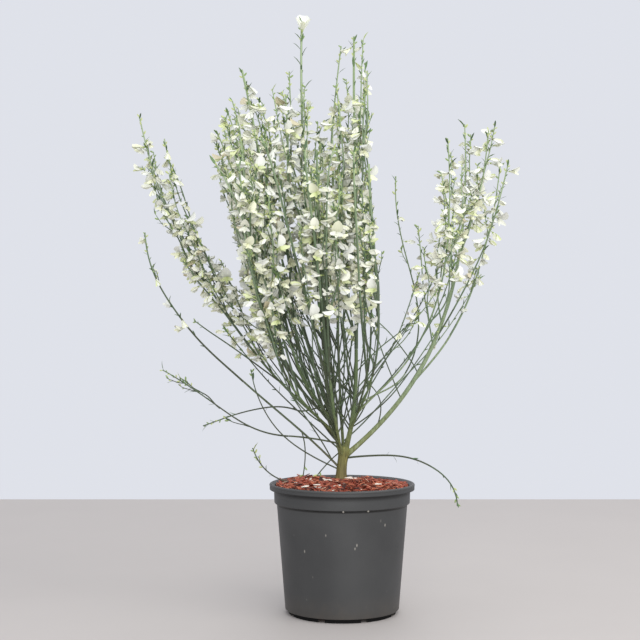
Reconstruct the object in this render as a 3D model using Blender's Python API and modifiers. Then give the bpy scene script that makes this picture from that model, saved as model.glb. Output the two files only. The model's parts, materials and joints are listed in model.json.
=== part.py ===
"""A white-flowering broom shrub growing in a plastic nursery pot.

Metres, +Z up. The origin is the centre of the pot's flat underside. +X runs across to the
right and +Y to the back. The trunk forks just above the mulch into boughs. Each bough carries
one sheaf of thin green whips with blossom on their upper part.
"""

import math
from dataclasses import dataclass

import bmesh
import bpy
import numpy as np
from mathutils import Matrix, Vector

# Gap between pieces that sit on one another
GAP = 0.0003

# Pot
POT_RIM_RADIUS = 0.095
POT_HEIGHT = 0.1695
POT_WALL = 0.0014
POT_FLOOR = 0.0018
POT_LIP_HEIGHT = 0.0080
POT_LIP_ROUND = 0.0022
POT_BAND_RADIUS = 0.0885
POT_STEP_HEIGHT = 0.1440
POT_STEP_DEPTH = 0.0032
POT_FOOT_RADIUS = 0.0745
POT_FOOT_HEIGHT = 0.0055
POT_FOOT_RECESS = 0.0035
POT_FLOOR_CORNER = 0.0040
POT_LIP_TURNS = (125, 75, 25, -30)
POT_LIP_DEPTH = 0.0025
POT_LIP_LEDGE = 0.0018
POT_LIP_ROOT = 0.0006
POT_DRAFT = 0.0004
POT_STEP_BREAK = 0.0002
POT_FOOT_SLOPE = 0.0006
POT_FOOT_DRAFT = 0.0008
POT_SIDES = 32
DRAIN_COUNT = 8
DRAIN_WIDTH = 0.009
DRAIN_LENGTH = 0.012
DRAIN_HEIGHT = 0.0076

# Root ball, its top of bark mulch heaped a little above the rim
MULCH_EDGE_DROP = 0.0035
MULCH_HEAP = 0.0080
MULCH_TOP = POT_HEIGHT - MULCH_EDGE_DROP + MULCH_HEAP
MULCH_EDGE_ROUND = 0.0015
MULCH_FLAT_RADIUS = 0.011
MULCH_RINGS = (0.45, 0.8)

# Trunk
TRUNK_FOOT = (-0.0010, 0.0, MULCH_TOP + GAP)
TRUNK_FORK = (0.0045, 0.0, 0.2180)
TRUNK_RADIUS = 0.0064
TRUNK_FLARE = 0.0016
TRUNK_SWELL = 0.0012
TRUNK_LEAN = 12.0
TRUNK_TAPER = 0.06
TRUNK_FLARE_SHARE = 0.14
TRUNK_FORK_SHARE = 0.86
TRUNK_SWELL_SHARE = 0.20
TRUNK_CROWN_SHARE = 0.155
TRUNK_LEAST_RADIUS = 0.001
TRUNK_RINGS = 11
TRUNK_SIDES = 12

# Limbs and whips
HANDLE = 0.36
END_CROWDING = 0.65
BOUGH_RINGS = 7
BOUGH_SIDES = 6
LEADER_RINGS = 7
LEADER_SIDES = 4
WHIP_RINGS = 5
WHIP_SIDES = 3
WHIP_ROOT_RADIUS = 0.00135
WHIP_TIP_RADIUS = 0.00070
WHIP_LEAVE = math.radians(26.0)
WHIP_FROM = 0.02
WHIP_TO = 0.62
WHIP_REACH = (0.56, 0.92)
WHIP_WIDE = (0.60, 1.0)
WHIP_NARROWING = 0.5
WHIP_SPLAY = 0.10
WHIP_TURN_PLAY = 0.4
GOLDEN_TURN = math.radians(137.5)

# Blossom
FLOWER_LENGTH = 0.0170
FLOWER_HALF_WIDTH = 0.0050
FLOWER_PITCH = 0.041
FLOWER_LEAN = math.radians(52.0)
FLOWER_LAST = 0.985
FLOWER_PLAY = (0.2, 0.8)
FLOWER_TURN_PLAY = 0.5
FLOWER_SIZES = (0.85, 1.15)
FLOWER_MIDDLE = 0.47
FLOWER_TESTED = (0.5, 0.95)
FLOWER_SEED = 1000

# Room kept between one mass and the next, between a whip and a limb, and round the pot's rim
SPACE_MARGIN = 0.0012
LIMB_MARGIN = 0.0010
RIM_MARGIN = 0.009
RIM_HEADROOM = 0.012
SPACE_SAMPLES = 28
ROOT_SAMPLES = 2

# Colours, linear, and roughness
POT_FINISH = ((0.070, 0.072, 0.075), 0.45)
MULCH_FINISH = ((0.33, 0.085, 0.045), 0.9)
TRUNK_FINISH = ((0.26, 0.20, 0.075), 0.75)
BOUGH_FINISH = ((0.15, 0.19, 0.06), 0.6)
BLOOM_FINISH = ((0.72, 0.74, 0.55), 0.7)


@dataclass(frozen=True)
class Limb:
    """A tapering bough: where it leaves its parent, where it ends, how it leans and its radii."""

    name: str
    parent: str
    share: float
    tip: tuple
    leans: tuple
    radii: tuple
    shift: tuple = (0.0, 0.0)


@dataclass(frozen=True)
class Mass:
    """A sheaf of whips: its bough, its leader's tip and lean, its whips, spread and bloom."""

    name: str
    limb: str
    tip: tuple
    lean: float
    whips: int
    spread: float
    bloom: float
    seed: int
    share: float = 1.0
    leave: float = 0.0
    radius: float = 0.0018


BOUGHS = [
    Limb("bough_right", "trunk", 0.66, (0.138, 0.018, 0.396), (52, 18), (0.0034, 0.0023)),
    Limb("bough_centre_right", "trunk", 0.92, (0.018, -0.018, 0.345), (25, 0), (0.0033, 0.0022),
         (0.0010, 0.0)),
    Limb("bough_centre", "trunk", 0.54, (-0.024, 0.010, 0.344), (17, 5), (0.0028, 0.0020)),
    Limb("bough_front", "trunk", 0.60, (-0.017, -0.066, 0.312), (40, 22), (0.0022, 0.0018)),
    Limb("bough_back", "trunk", 0.74, (-0.003, 0.076, 0.320), (42, 24), (0.0023, 0.0018)),
    Limb("bough_left_low", "trunk", 0.26, (-0.128, -0.022, 0.303), (43, 48), (0.0016, 0.0014)),
    Limb("bough_left", "bough_centre", 0.37, (-0.065, -0.009, 0.345), (46, 15), (0.0022, 0.0018)),
    Limb("bough_left_outer", "bough_centre", 0.24, (-0.122, 0.017, 0.348), (48, 37),
         (0.0019, 0.0016)),
    Limb("bough_left_front", "bough_centre", 0.20, (-0.070, -0.064, 0.308), (46, 36),
         (0.0017, 0.0015)),
    Limb("bough_left_back", "bough_centre", 0.30, (-0.078, 0.070, 0.322), (46, 36),
         (0.0018, 0.0015)),
    Limb("bough_low_left", "bough_centre", 0.155, (-0.070, -0.004, 0.231), (78, 86),
         (0.0013, 0.0012)),
    Limb("bough_droop_left", "bough_centre", 0.46, (-0.060, 0.026, 0.263), (58, 74),
         (0.0012, 0.0011)),
    Limb("bough_front_right", "bough_centre_right", 0.18, (0.037, -0.066, 0.312), (38, 28),
         (0.0017, 0.0014)),
    Limb("bough_back_right", "bough_centre_right", 0.18, (0.036, 0.068, 0.312), (40, 28),
         (0.0017, 0.0014)),
    Limb("bough_right_upper", "bough_centre_right", 0.30, (0.084, -0.038, 0.332), (38, 36),
         (0.0016, 0.0014)),
    Limb("bough_right_inner", "bough_centre_right", 0.40, (0.085, 0.031, 0.312), (46, 38),
         (0.0015, 0.0013)),
    Limb("bough_right_far", "bough_right", 0.37, (0.148, 0.064, 0.362), (40, 38),
         (0.0018, 0.0015)),
]

MASSES = [
    Mass("mass_leader", "bough_centre", (-0.0525, 0.010, 0.777), -3, 9, 0.046, 0.22, 11),
    Mass("mass_centre_right", "bough_centre_right", (0.0150, -0.024, 0.750), 0, 9, 0.038, 0.18, 12),
    Mass("mass_left_inner", "bough_left", (-0.1300, -0.030, 0.706), 14, 8, 0.042, 0.20, 13),
    Mass("mass_outer_left", "bough_left_outer", (-0.2700, 0.030, 0.654), 12, 8, 0.032, 0.22, 14),
    Mass("mass_left_lean", "bough_left_low", (-0.2510, -0.060, 0.494), 4, 5, 0.040, 0.42, 15),
    Mass("mass_left_upper", "bough_left_back", (-0.1620, 0.106, 0.648), 12, 8, 0.046, 0.22, 16),
    Mass("mass_left_front", "bough_left_front", (-0.1270, -0.118, 0.610), 8, 7, 0.042, 0.24, 17),
    Mass("mass_front", "bough_front", (-0.0330, -0.134, 0.590), 8, 7, 0.042, 0.24, 18),
    Mass("mass_back", "bough_back", (-0.0120, 0.146, 0.676), 8, 7, 0.046, 0.22, 19),
    Mass("mass_front_right", "bough_front_right", (0.0310, -0.112, 0.575), 6, 6, 0.026, 0.26, 20),
    Mass("mass_back_right", "bough_back_right", (0.0340, 0.116, 0.590), 6, 6, 0.028, 0.26, 21),
    Mass("mass_right_inner", "bough_right_inner", (0.0735, 0.050, 0.577), -8, 4, 0.022, 0.40, 22),
    Mass("mass_right_upper", "bough_right_upper", (0.1320, -0.070, 0.612), -4, 6, 0.030, 0.34, 23),
    Mass("mass_right_outer", "bough_right", (0.1620, 0.012, 0.642), -2, 8, 0.034, 0.26, 24),
    Mass("mass_right_far", "bough_right_far", (0.2200, 0.086, 0.604), 8, 6, 0.032, 0.32, 25),
    Mass("low_whips_left", "bough_low_left", (-0.2340, -0.014, 0.318), 62, 3, 0.026, 0.50, 26,
         radius=0.0012),
    Mass("drooping_whips_left", "bough_droop_left", (-0.1860, 0.040, 0.241), 108, 2, 0.018, 0.50,
         27, radius=0.0012),
    Mass("drooping_whip_right", "trunk", (0.1490, -0.024, 0.142), 168, 1, 0.014, 0.60, 28,
         0.50, 76.0, 0.0013),
    Mass("basal_shoot", "trunk", (-0.1180, 0.012, 0.214), 40, 1, 0.014, 0.70, 29,
         0.09, 84.0, 0.0012),
]


class Arc:
    """A cubic curve from a root to a tip, given by its four control points."""

    def __init__(self, control):
        self.control = np.array(control, dtype=float)

    def at(self, share):
        """The point at this share of the way from root to tip."""
        t = np.asarray(share, dtype=float)[..., None]
        a, b, c, d = self.control
        return (1 - t) ** 3 * a + 3 * (1 - t) ** 2 * t * b + 3 * (1 - t) * t**2 * c + t**3 * d

    def way(self, share):
        """The unit direction towards the tip at this share."""
        t = np.asarray(share, dtype=float)[..., None]
        a, b, c, d = self.control
        slope = (1 - t) ** 2 * (b - a) + 2 * (1 - t) * t * (c - b) + t**2 * (d - c)
        return slope / np.linalg.norm(slope, axis=-1, keepdims=True)

    def points(self, count):
        """Evenly dealt points from root to tip."""
        return self.at(np.linspace(0.0, 1.0, count))

    def rings(self, count):
        """The centres of a stem's rings."""
        return self.at(ring_shares(count))

    def on_stretch(self, share, count):
        """The point at this share on the straight stretches between a stem's rings."""
        return np.array([np.interp(share, ring_shares(count), line) for line in self.rings(count).T])

    def length(self):
        """The curve's length."""
        return float(np.linalg.norm(np.diff(self.points(SPACE_SAMPLES), axis=0), axis=1).sum())


def ring_shares(count):
    """Shares from root to tip, closer at both ends, so that the end faces lie square to the stem."""
    even = np.linspace(0.0, 1.0, count)
    return even - END_CROWDING * np.sin(2 * math.pi * even) / (2 * math.pi)


def leaning(root, tip, lean):
    """The unit direction that leans from upright towards the tip by this many degrees."""
    flat = np.array([tip[0] - root[0], tip[1] - root[1], 0.0])
    flat /= max(np.linalg.norm(flat), 1e-9)
    return flat * math.sin(math.radians(lean)) + np.array([0, 0, math.cos(math.radians(lean))])


def arc_from(root, first_way, tip, last_way):
    """The curve that leaves the root and reaches the tip in the given directions."""
    root, tip = np.array(root, dtype=float), np.array(tip, dtype=float)
    handle = HANDLE * np.linalg.norm(tip - root)
    return Arc([root, root + first_way * handle, tip - last_way * handle, tip])


def sideways(way, turn):
    """A unit vector square to a direction, turned about it by an angle."""
    across = np.cross(way, [0.0, 1.0, 0.0])
    across /= np.linalg.norm(across)
    deep = np.cross(way, across)
    return across * math.cos(turn) + deep * math.sin(turn)


def trunk_arc():
    """The trunk's leaning centre line, from the mulch to the fork."""
    rise = np.array([0.0, 0.0, 1.0])
    lean = leaning(TRUNK_FOOT, TRUNK_FORK, TRUNK_LEAN)
    return arc_from(TRUNK_FOOT, rise, TRUNK_FORK, lean)


def trunk_radii(shares):
    """Flare at the foot, a slight waist, a swelling at the fork and a rounded top."""
    flare = TRUNK_FLARE * np.exp(-shares / TRUNK_FLARE_SHARE)
    swell = TRUNK_SWELL * np.exp(-(((shares - TRUNK_FORK_SHARE) / TRUNK_SWELL_SHARE) ** 2))
    past_fork = np.clip(shares - TRUNK_FORK_SHARE, 0.0, None) / TRUNK_CROWN_SHARE
    crown = np.sqrt(np.clip(1.0 - past_fork**2, 0.0, 1.0))
    plain = TRUNK_RADIUS * (1.0 - TRUNK_TAPER * shares)
    return np.maximum((plain + flare + swell) * crown, TRUNK_LEAST_RADIUS)


def trunk_rings():
    """The shares of the trunk's rings, closest together at the foot and at the rounded top."""
    return 0.5 - 0.5 * np.cos(np.linspace(0.0, math.pi, TRUNK_RINGS))


def bough_arcs():
    """Each bough's centre line by name, with its root on its parent's centre line."""
    arcs = {"trunk": trunk_arc()}
    for limb in BOUGHS:
        root = arcs[limb.parent].on_stretch(limb.share, BOUGH_RINGS) + np.array([*limb.shift, 0.0])
        first, last = (leaning(root, limb.tip, lean) for lean in limb.leans)
        arcs[limb.name] = arc_from(root, first, limb.tip, last)
    return arcs


def leader_arc(mass, arcs):
    """A mass's own stem, carried on from its bough's tip or out of the trunk's side."""
    limb = arcs[mass.limb]
    if mass.limb == "trunk":
        root = limb.at(mass.share)
        first = leaning(root, mass.tip, mass.leave)
    else:
        first = limb.way(1.0)
        root = limb.at(1.0) + first * GAP
    return arc_from(root, first, mass.tip, leaning(root, mass.tip, mass.lean))


def whip_arcs(mass, leader):
    """The whips that branch off a leader, in turn around it, and fan out to the mass's spread."""
    random = np.random.default_rng(mass.seed)
    whips = []
    for number in range(mass.whips):
        share = WHIP_FROM + (WHIP_TO - WHIP_FROM) * (number + random.random()) / mass.whips
        turn = number * GOLDEN_TURN + random.uniform(-WHIP_TURN_PLAY, WHIP_TURN_PLAY)
        reach = random.uniform(*WHIP_REACH)
        wide = mass.spread * random.uniform(*WHIP_WIDE) * (1.0 - WHIP_NARROWING * share)
        root, way = leader.on_stretch(share, LEADER_RINGS), leader.way(share)
        side = sideways(way, turn)
        tip = root + (leader.at(1.0) - root) * reach + side * wide
        last = leader.way(1.0) + side * WHIP_SPLAY
        first = way * math.cos(WHIP_LEAVE) + side * math.sin(WHIP_LEAVE)
        whips.append(arc_from(root, first, tip, last / np.linalg.norm(last)))
    return whips


def flower_places(arc, rings, bloom, random):
    """Root, direction and size of each flower along a whip, in turn around it."""
    count = max(1, round(arc.length() * (1.0 - bloom) / FLOWER_PITCH))
    places = []
    for number in range(count):
        share = bloom + (FLOWER_LAST - bloom) * (number + random.uniform(*FLOWER_PLAY)) / count
        way = arc.way(share)
        turn = number * GOLDEN_TURN + random.uniform(-FLOWER_TURN_PLAY, FLOWER_TURN_PLAY)
        out = way * math.cos(FLOWER_LEAN) + sideways(way, turn) * math.sin(FLOWER_LEAN)
        places.append((arc.on_stretch(share, rings), out, random.uniform(*FLOWER_SIZES)))
    return places


def distance_to_line(points, line):
    """Each point's distance to the nearest stretch of a line, and that stretch's share along it."""
    start, step = line[:-1], np.diff(line, axis=0)
    along = np.einsum("psk,sk->ps", points[:, None] - start[None], step) / (step**2).sum(1)
    along = np.clip(along, 0.0, 1.0)
    apart = np.linalg.norm(points[:, None] - start[None] - along[..., None] * step[None], axis=2)
    nearest = apart.argmin(1)
    rows = np.arange(len(points))
    return apart[rows, nearest], (nearest + along[rows, nearest]) / len(step)


class Space:
    """The room that belongs to each mass: nearer to its own leader than to any other's."""

    def __init__(self, arcs, leaders):
        self.leaders = {name: arc.points(SPACE_SAMPLES) for name, arc in leaders.items()}
        self.limbs = [(arcs[limb.name].points(SPACE_SAMPLES), limb.radii) for limb in BOUGHS]
        trunk = arcs["trunk"].points(SPACE_SAMPLES)
        self.limbs.append((trunk, (TRUNK_RADIUS + TRUNK_FLARE, TRUNK_RADIUS + TRUNK_SWELL)))

    def holds(self, name, points, thick):
        """Whether a piece this thick along these points stays in its mass's room, off all limbs."""
        own, _ = distance_to_line(points, self.leaders[name])
        for other, line in self.leaders.items():
            if other == name:
                continue
            apart, _ = distance_to_line(points, line)
            if np.any((apart - own) / 2 < thick + SPACE_MARGIN):
                return False
        for line, (first, last) in self.limbs:
            apart, share = distance_to_line(points, line)
            if np.any(apart < first + (last - first) * share + thick + LIMB_MARGIN):
                return False
        above_rim = points[:, 2] > POT_HEIGHT + RIM_HEADROOM
        beside_rim = np.hypot(*points[:, :2].T) > POT_RIM_RADIUS + RIM_MARGIN
        return bool(np.all(above_rim | beside_rim))


def clear_scene():
    """Remove the objects that the file opens with."""
    for thing in list(bpy.data.objects):
        bpy.data.objects.remove(thing, do_unlink=True)


def new_collection(name):
    """A collection linked to the scene."""
    made = bpy.data.collections.new(name)
    bpy.context.scene.collection.children.link(made)
    return made


def material(name, finish):
    """A plain Principled finish, a colour and a roughness, without metal."""
    colour, roughness = finish
    made = bpy.data.materials.new(name)
    made.use_nodes = True
    shader = made.node_tree.nodes["Principled BSDF"]
    shader.inputs["Base Color"].default_value = (*colour, 1.0)
    shader.inputs["Roughness"].default_value = roughness
    shader.inputs["Metallic"].default_value = 0.0
    return made


def mesh_object(name, mesh, collection):
    """An object that holds a mesh, in a collection."""
    made = bpy.data.objects.new(name, mesh)
    collection.objects.link(made)
    return made


def stem_curve(name, points, radii, sides, collection):
    """A stem with filled ends: a line of points with a radius at each and a round of sides."""
    curve = bpy.data.curves.new(name, "CURVE")
    curve.dimensions = "3D"
    curve.use_fill_caps = True
    if sides == WHIP_SIDES:
        curve.bevel_mode = "OBJECT"
        curve.bevel_object = bpy.data.objects["three_sided_section"]
    else:
        curve.bevel_depth = 1.0
        curve.bevel_resolution = (sides - 4) // 2
    spline = curve.splines.new("POLY")
    spline.points.add(len(points) - 1)
    for place, point, radius in zip(spline.points, points, radii):
        place.co = (*point, 1.0)
        place.radius = radius
    made = bpy.data.objects.new(name, curve)
    collection.objects.link(made)
    return made


def three_sided_section(collection):
    """The section of a thin twig: a triangle of unit radius, used only as a guide."""
    curve = bpy.data.curves.new("three_sided_section", "CURVE")
    curve.dimensions = "2D"
    spline = curve.splines.new("POLY")
    spline.points.add(2)
    for number, place in enumerate(spline.points):
        turn = math.radians(90.0 + 120.0 * number)
        place.co = (math.cos(turn), math.sin(turn), 0.0, 1.0)
    spline.use_cyclic_u = True
    made = bpy.data.objects.new("three_sided_section", curve)
    made.hide_render = True
    made.display_type = "WIRE"
    collection.objects.link(made)


def as_meshes(curves):
    """Turn curve objects into mesh objects of the same names, with their end caps welded."""
    graph = bpy.context.evaluated_depsgraph_get()
    graph.update()
    made = []
    for curve in curves:
        mesh = bpy.data.meshes.new_from_object(curve.evaluated_get(graph))
        body = bmesh.new()
        body.from_mesh(mesh)
        bmesh.ops.remove_doubles(body, verts=body.verts, dist=1e-7)
        bmesh.ops.recalc_face_normals(body, faces=body.faces)
        body.to_mesh(mesh)
        body.free()
        name, collection, matrix = curve.name, curve.users_collection[0], curve.matrix_world.copy()
        data = curve.data
        bpy.data.objects.remove(curve)
        bpy.data.curves.remove(data)
        thing = mesh_object(name, mesh, collection)
        thing.matrix_world = matrix
        made.append(thing)
    return made


def apply_modifiers(thing):
    """Replace an object's mesh by its evaluated one."""
    graph = bpy.context.evaluated_depsgraph_get()
    graph.update()
    mesh = bpy.data.meshes.new_from_object(thing.evaluated_get(graph))
    old = thing.data
    thing.modifiers.clear()
    thing.data = mesh
    bpy.data.meshes.remove(old)


def keep_largest_body(thing):
    """Drop loose scraps and sealed hollows, which are separate shells of the mesh."""
    body = bmesh.new()
    body.from_mesh(thing.data)
    left = set(body.verts)
    shells = []
    while left:
        shell, edge = set(), [left.pop()]
        while edge:
            vertex = edge.pop()
            shell.add(vertex)
            near = {link.other_vert(vertex) for link in vertex.link_edges} & left
            left -= near
            edge.extend(near)
        shells.append(shell)
    shells.sort(key=len)
    scraps = [vertex for shell in shells[:-1] for vertex in shell]
    bmesh.ops.delete(body, geom=scraps, context="VERTS")
    body.to_mesh(thing.data)
    body.free()


def smooth(thing, angle):
    """Shade round faces smooth, with edges sharper than this angle in degrees kept sharp."""
    thing.data.shade_smooth()
    thing.data.set_sharp_from_angle(angle=math.radians(angle))


def pot_profile():
    """The shell's section from the middle of its inner floor, up, over the lip and down."""
    foot = POT_FOOT_RADIUS - POT_FOOT_RECESS
    lip = POT_RIM_RADIUS - POT_LIP_ROUND
    lip_turns = [math.radians(angle) for angle in POT_LIP_TURNS]
    step_radius = POT_BAND_RADIUS - POT_STEP_DEPTH
    shoulder = POT_STEP_HEIGHT - POT_STEP_DEPTH / 2
    under_lip = POT_HEIGHT - POT_LIP_HEIGHT
    inner_foot = foot - POT_WALL
    profile = [(0.0, POT_FLOOR), (inner_foot - POT_FLOOR_CORNER, POT_FLOOR)]
    profile += [(inner_foot, POT_FLOOR + POT_FLOOR_CORNER)]
    profile += [(POT_FOOT_RADIUS - POT_WALL, POT_FOOT_HEIGHT + POT_WALL)]
    profile += [(step_radius - POT_WALL, shoulder), (POT_BAND_RADIUS - POT_WALL, POT_STEP_HEIGHT)]
    profile += [(POT_BAND_RADIUS - POT_WALL + POT_DRAFT, POT_HEIGHT - POT_LIP_DEPTH)]
    profile += [
        (lip + POT_LIP_ROUND * math.cos(turn), POT_HEIGHT - POT_LIP_ROUND * (1 - math.sin(turn)))
        for turn in lip_turns
    ]
    profile += [(POT_RIM_RADIUS - POT_DRAFT, under_lip)]
    profile += [(POT_RIM_RADIUS - POT_LIP_LEDGE, under_lip)]
    profile += [(POT_BAND_RADIUS + POT_LIP_ROOT, under_lip + POT_LIP_LEDGE)]
    profile += [(POT_BAND_RADIUS, POT_STEP_HEIGHT + POT_STEP_BREAK), (step_radius, shoulder)]
    profile += [(POT_FOOT_RADIUS, POT_FOOT_HEIGHT), (foot, POT_FOOT_HEIGHT - POT_FOOT_SLOPE)]
    profile += [(foot - POT_FOOT_DRAFT, 0.0), (0.0, 0.0)]
    return profile


def ball_profile():
    """The root ball's section: heaped mulch on top, then down inside the pot's wall, clear of it."""
    wall = [(radius - GAP, height + GAP) for radius, height in reversed(pot_profile()[1:6])]
    edge = wall[0][0]
    heap = [(edge * share, MULCH_TOP - MULCH_HEAP * share**2) for share in MULCH_RINGS]
    edge_top = MULCH_TOP - MULCH_HEAP - MULCH_EDGE_ROUND
    top = [(0.0, MULCH_TOP), (MULCH_FLAT_RADIUS, MULCH_TOP), *heap, (edge, edge_top)]
    return [*top, *wall, (0.0, wall[-1][1])]


def turned(name, profile, sides, collection):
    """A shape turned about +Z from a section that runs down its outer side."""
    mesh = bpy.data.meshes.new(name)
    points = [(radius, 0.0, height) for radius, height in profile]
    mesh.from_pydata(points, [(i, i + 1) for i in range(len(points) - 1)], [])
    made = mesh_object(name, mesh, collection)
    screw = made.modifiers.new("turn", "SCREW")
    screw.axis = "Z"
    screw.steps = sides
    screw.render_steps = sides
    screw.use_merge_vertices = True
    screw.merge_threshold = 0.00001
    return made


def build_pot(collection, cutters):
    """The plastic pot with a rolled lip, a stepped band and drain slots round its foot."""
    pot = turned("pot", pot_profile(), POT_SIDES, collection)
    apply_modifiers(pot)
    body = bmesh.new()
    ring = POT_FOOT_RADIUS - POT_FOOT_RECESS
    for number in range(DRAIN_COUNT):
        turn = Matrix.Rotation(2 * math.pi * (number + 0.5) / DRAIN_COUNT, 4, "Z")
        out = Matrix.Translation((ring, 0.0, 0.0))
        size = Matrix.Diagonal((DRAIN_LENGTH, DRAIN_WIDTH, DRAIN_HEIGHT, 1.0))
        bmesh.ops.create_cube(body, size=1.0, matrix=turn @ out @ size)
    mesh = bpy.data.meshes.new("drain_slots")
    body.to_mesh(mesh)
    body.free()
    slots = mesh_object("drain_slots", mesh, cutters)
    slots.hide_render = True
    slots.display_type = "WIRE"
    cut = pot.modifiers.new("drains", "BOOLEAN")
    cut.operation = "DIFFERENCE"
    cut.object = slots
    pot.data.materials.append(material("pot_plastic", POT_FINISH))
    smooth(pot, 30)
    return pot


def build_ball(collection):
    """The root ball, one solid up to the heaped mulch."""
    ball = turned("root_ball", ball_profile(), POT_SIDES, collection)
    ball.data.materials.append(material("bark_mulch", MULCH_FINISH))
    return ball


def limb_shape(name, arcs):
    """A limb's points, radii and number of sides, by name."""
    if name == "trunk":
        shares = trunk_rings()
        return arcs[name].at(shares), trunk_radii(shares), TRUNK_SIDES
    limb = next(limb for limb in BOUGHS if limb.name == name)
    shares = ring_shares(BOUGH_RINGS)
    return arcs[name].at(shares), np.interp(shares, (0.0, 1.0), limb.radii), BOUGH_SIDES


def build_trunk(arcs, collection):
    """The trunk from its flat cut on the mulch to its rounded fork."""
    (trunk,) = as_meshes([stem_curve("trunk", *limb_shape("trunk", arcs), collection)])
    trunk.data.materials.append(material("trunk_bark", TRUNK_FINISH))
    smooth(trunk, 50)
    return trunk


def seat_on_parent(thing, points, radii, sides, cutters):
    """Cut a stem's root back to its parent's surface, GAP clear of it."""
    name = thing.name + "_seat"
    cutter = stem_curve(name, points, np.asarray(radii) + GAP, sides, cutters)
    (cutter,) = as_meshes([cutter])
    cutter.hide_render = True
    cutter.display_type = "WIRE"
    cut = thing.modifiers.new("seat", "BOOLEAN")
    cut.operation = "DIFFERENCE"
    cut.object = cutter


def build_boughs(arcs, collection, cutters):
    """Every bough as one tapering limb, its root seated on its parent."""
    for limb in BOUGHS:
        curve = stem_curve(limb.name, *limb_shape(limb.name, arcs), collection)
        (bough,) = as_meshes([curve])
        seat_on_parent(bough, *limb_shape(limb.parent, arcs), cutters)
        bough.data.materials.append(material(limb.name + "_bark", BOUGH_FINISH))
        smooth(bough, 60)


def flower_object(name, place, collection):
    """One flower as a six-faced spindle that stands out of its whip, root sunk in."""
    root, out, size = place
    length, half = FLOWER_LENGTH * size, FLOWER_HALF_WIDTH * size
    turn = Vector((0, 0, 1)).rotation_difference(Vector(out)).to_matrix().to_4x4()
    middle = Matrix.Translation(Vector(root + out * length * FLOWER_MIDDLE))
    scale = Matrix.Diagonal((half, half, length / 2, 1.0))
    body = bmesh.new()
    bmesh.ops.create_uvsphere(
        body, u_segments=3, v_segments=2, radius=1.0, matrix=middle @ turn @ scale
    )
    mesh = bpy.data.meshes.new(name)
    body.to_mesh(mesh)
    body.free()
    return mesh_object(name, mesh, collection)


def build_mass(mass, arcs, leaders, space, collection, cutters):
    """One sheaf of whips with its blossom, fused to one stem."""
    leader = leaders[mass.name]
    whips = [
        whip for whip in whip_arcs(mass, leader)
        if space.holds(mass.name, whip.points(SPACE_SAMPLES)[ROOT_SAMPLES:], WHIP_ROOT_RADIUS)
    ]
    pieces = new_collection(mass.name + "_pieces")
    radii = np.linspace(mass.radius, WHIP_TIP_RADIUS, LEADER_RINGS)
    stem = stem_curve(mass.name, leader.rings(LEADER_RINGS), radii, LEADER_SIDES, collection)
    thin = np.linspace(WHIP_ROOT_RADIUS, WHIP_TIP_RADIUS, WHIP_RINGS)
    curves = [
        stem_curve(f"{mass.name}_whip_{number}", whip.rings(WHIP_RINGS), thin, WHIP_SIDES, pieces)
        for number, whip in enumerate(whips)
    ]
    stem, *twigs = as_meshes([stem, *curves])
    if mass.limb == "trunk":
        seat_on_parent(stem, *limb_shape("trunk", arcs), cutters)
        apply_modifiers(stem)
    random = np.random.default_rng(FLOWER_SEED + mass.seed)
    flowers = []
    for arc in [leader, *whips]:
        rings = LEADER_RINGS if arc is leader else WHIP_RINGS
        for place in flower_places(arc, rings, mass.bloom, random):
            root, out, size = place
            tested = root + np.outer(FLOWER_TESTED, out) * FLOWER_LENGTH * size
            if space.holds(mass.name, tested, FLOWER_HALF_WIDTH * size):
                flowers.append(flower_object(f"{mass.name}_flower", place, pieces))
    union = stem.modifiers.new("fuse", "BOOLEAN")
    union.operation = "UNION"
    union.operand_type = "COLLECTION"
    union.collection = pieces
    union.solver = "MANIFOLD"
    apply_modifiers(stem)
    for piece in twigs + flowers:
        bpy.data.objects.remove(piece, do_unlink=True)
    bpy.data.collections.remove(pieces)
    keep_largest_body(stem)
    stem.data.materials.append(material(mass.name + "_bloom", BLOOM_FINISH))


def main():
    """Build the pot, the root ball, the trunk, its boughs and their sheaves of whips."""
    clear_scene()
    plant = new_collection("potted_broom_shrub")
    cutters = new_collection("cutters")
    three_sided_section(cutters)
    arcs = bough_arcs()
    leaders = {mass.name: leader_arc(mass, arcs) for mass in MASSES}
    space = Space(arcs, leaders)
    build_pot(plant, cutters)
    build_ball(plant)
    build_trunk(arcs, plant)
    build_boughs(arcs, plant, cutters)
    for mass in MASSES:
        build_mass(mass, arcs, leaders, space, plant, cutters)


if __name__ == "__main__":
    main()
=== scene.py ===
"""The looks of a white-flowering broom shrub that grows in a plastic nursery pot.

Metres, +Z up, in the part's own frame: the origin is the centre of the pot's flat underside. Limbs
and whips grow by the rule of the solids, from the same named sizes and seeds, and are carried on
here to finer whips, side twigs, leaves, buds and pea flowers.
"""

from __future__ import annotations

import json
import logging
import math
from collections.abc import Sequence
from dataclasses import dataclass, field
from enum import Enum

import bmesh
import bpy
import numpy as np
from mathutils import Matrix, Vector

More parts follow.
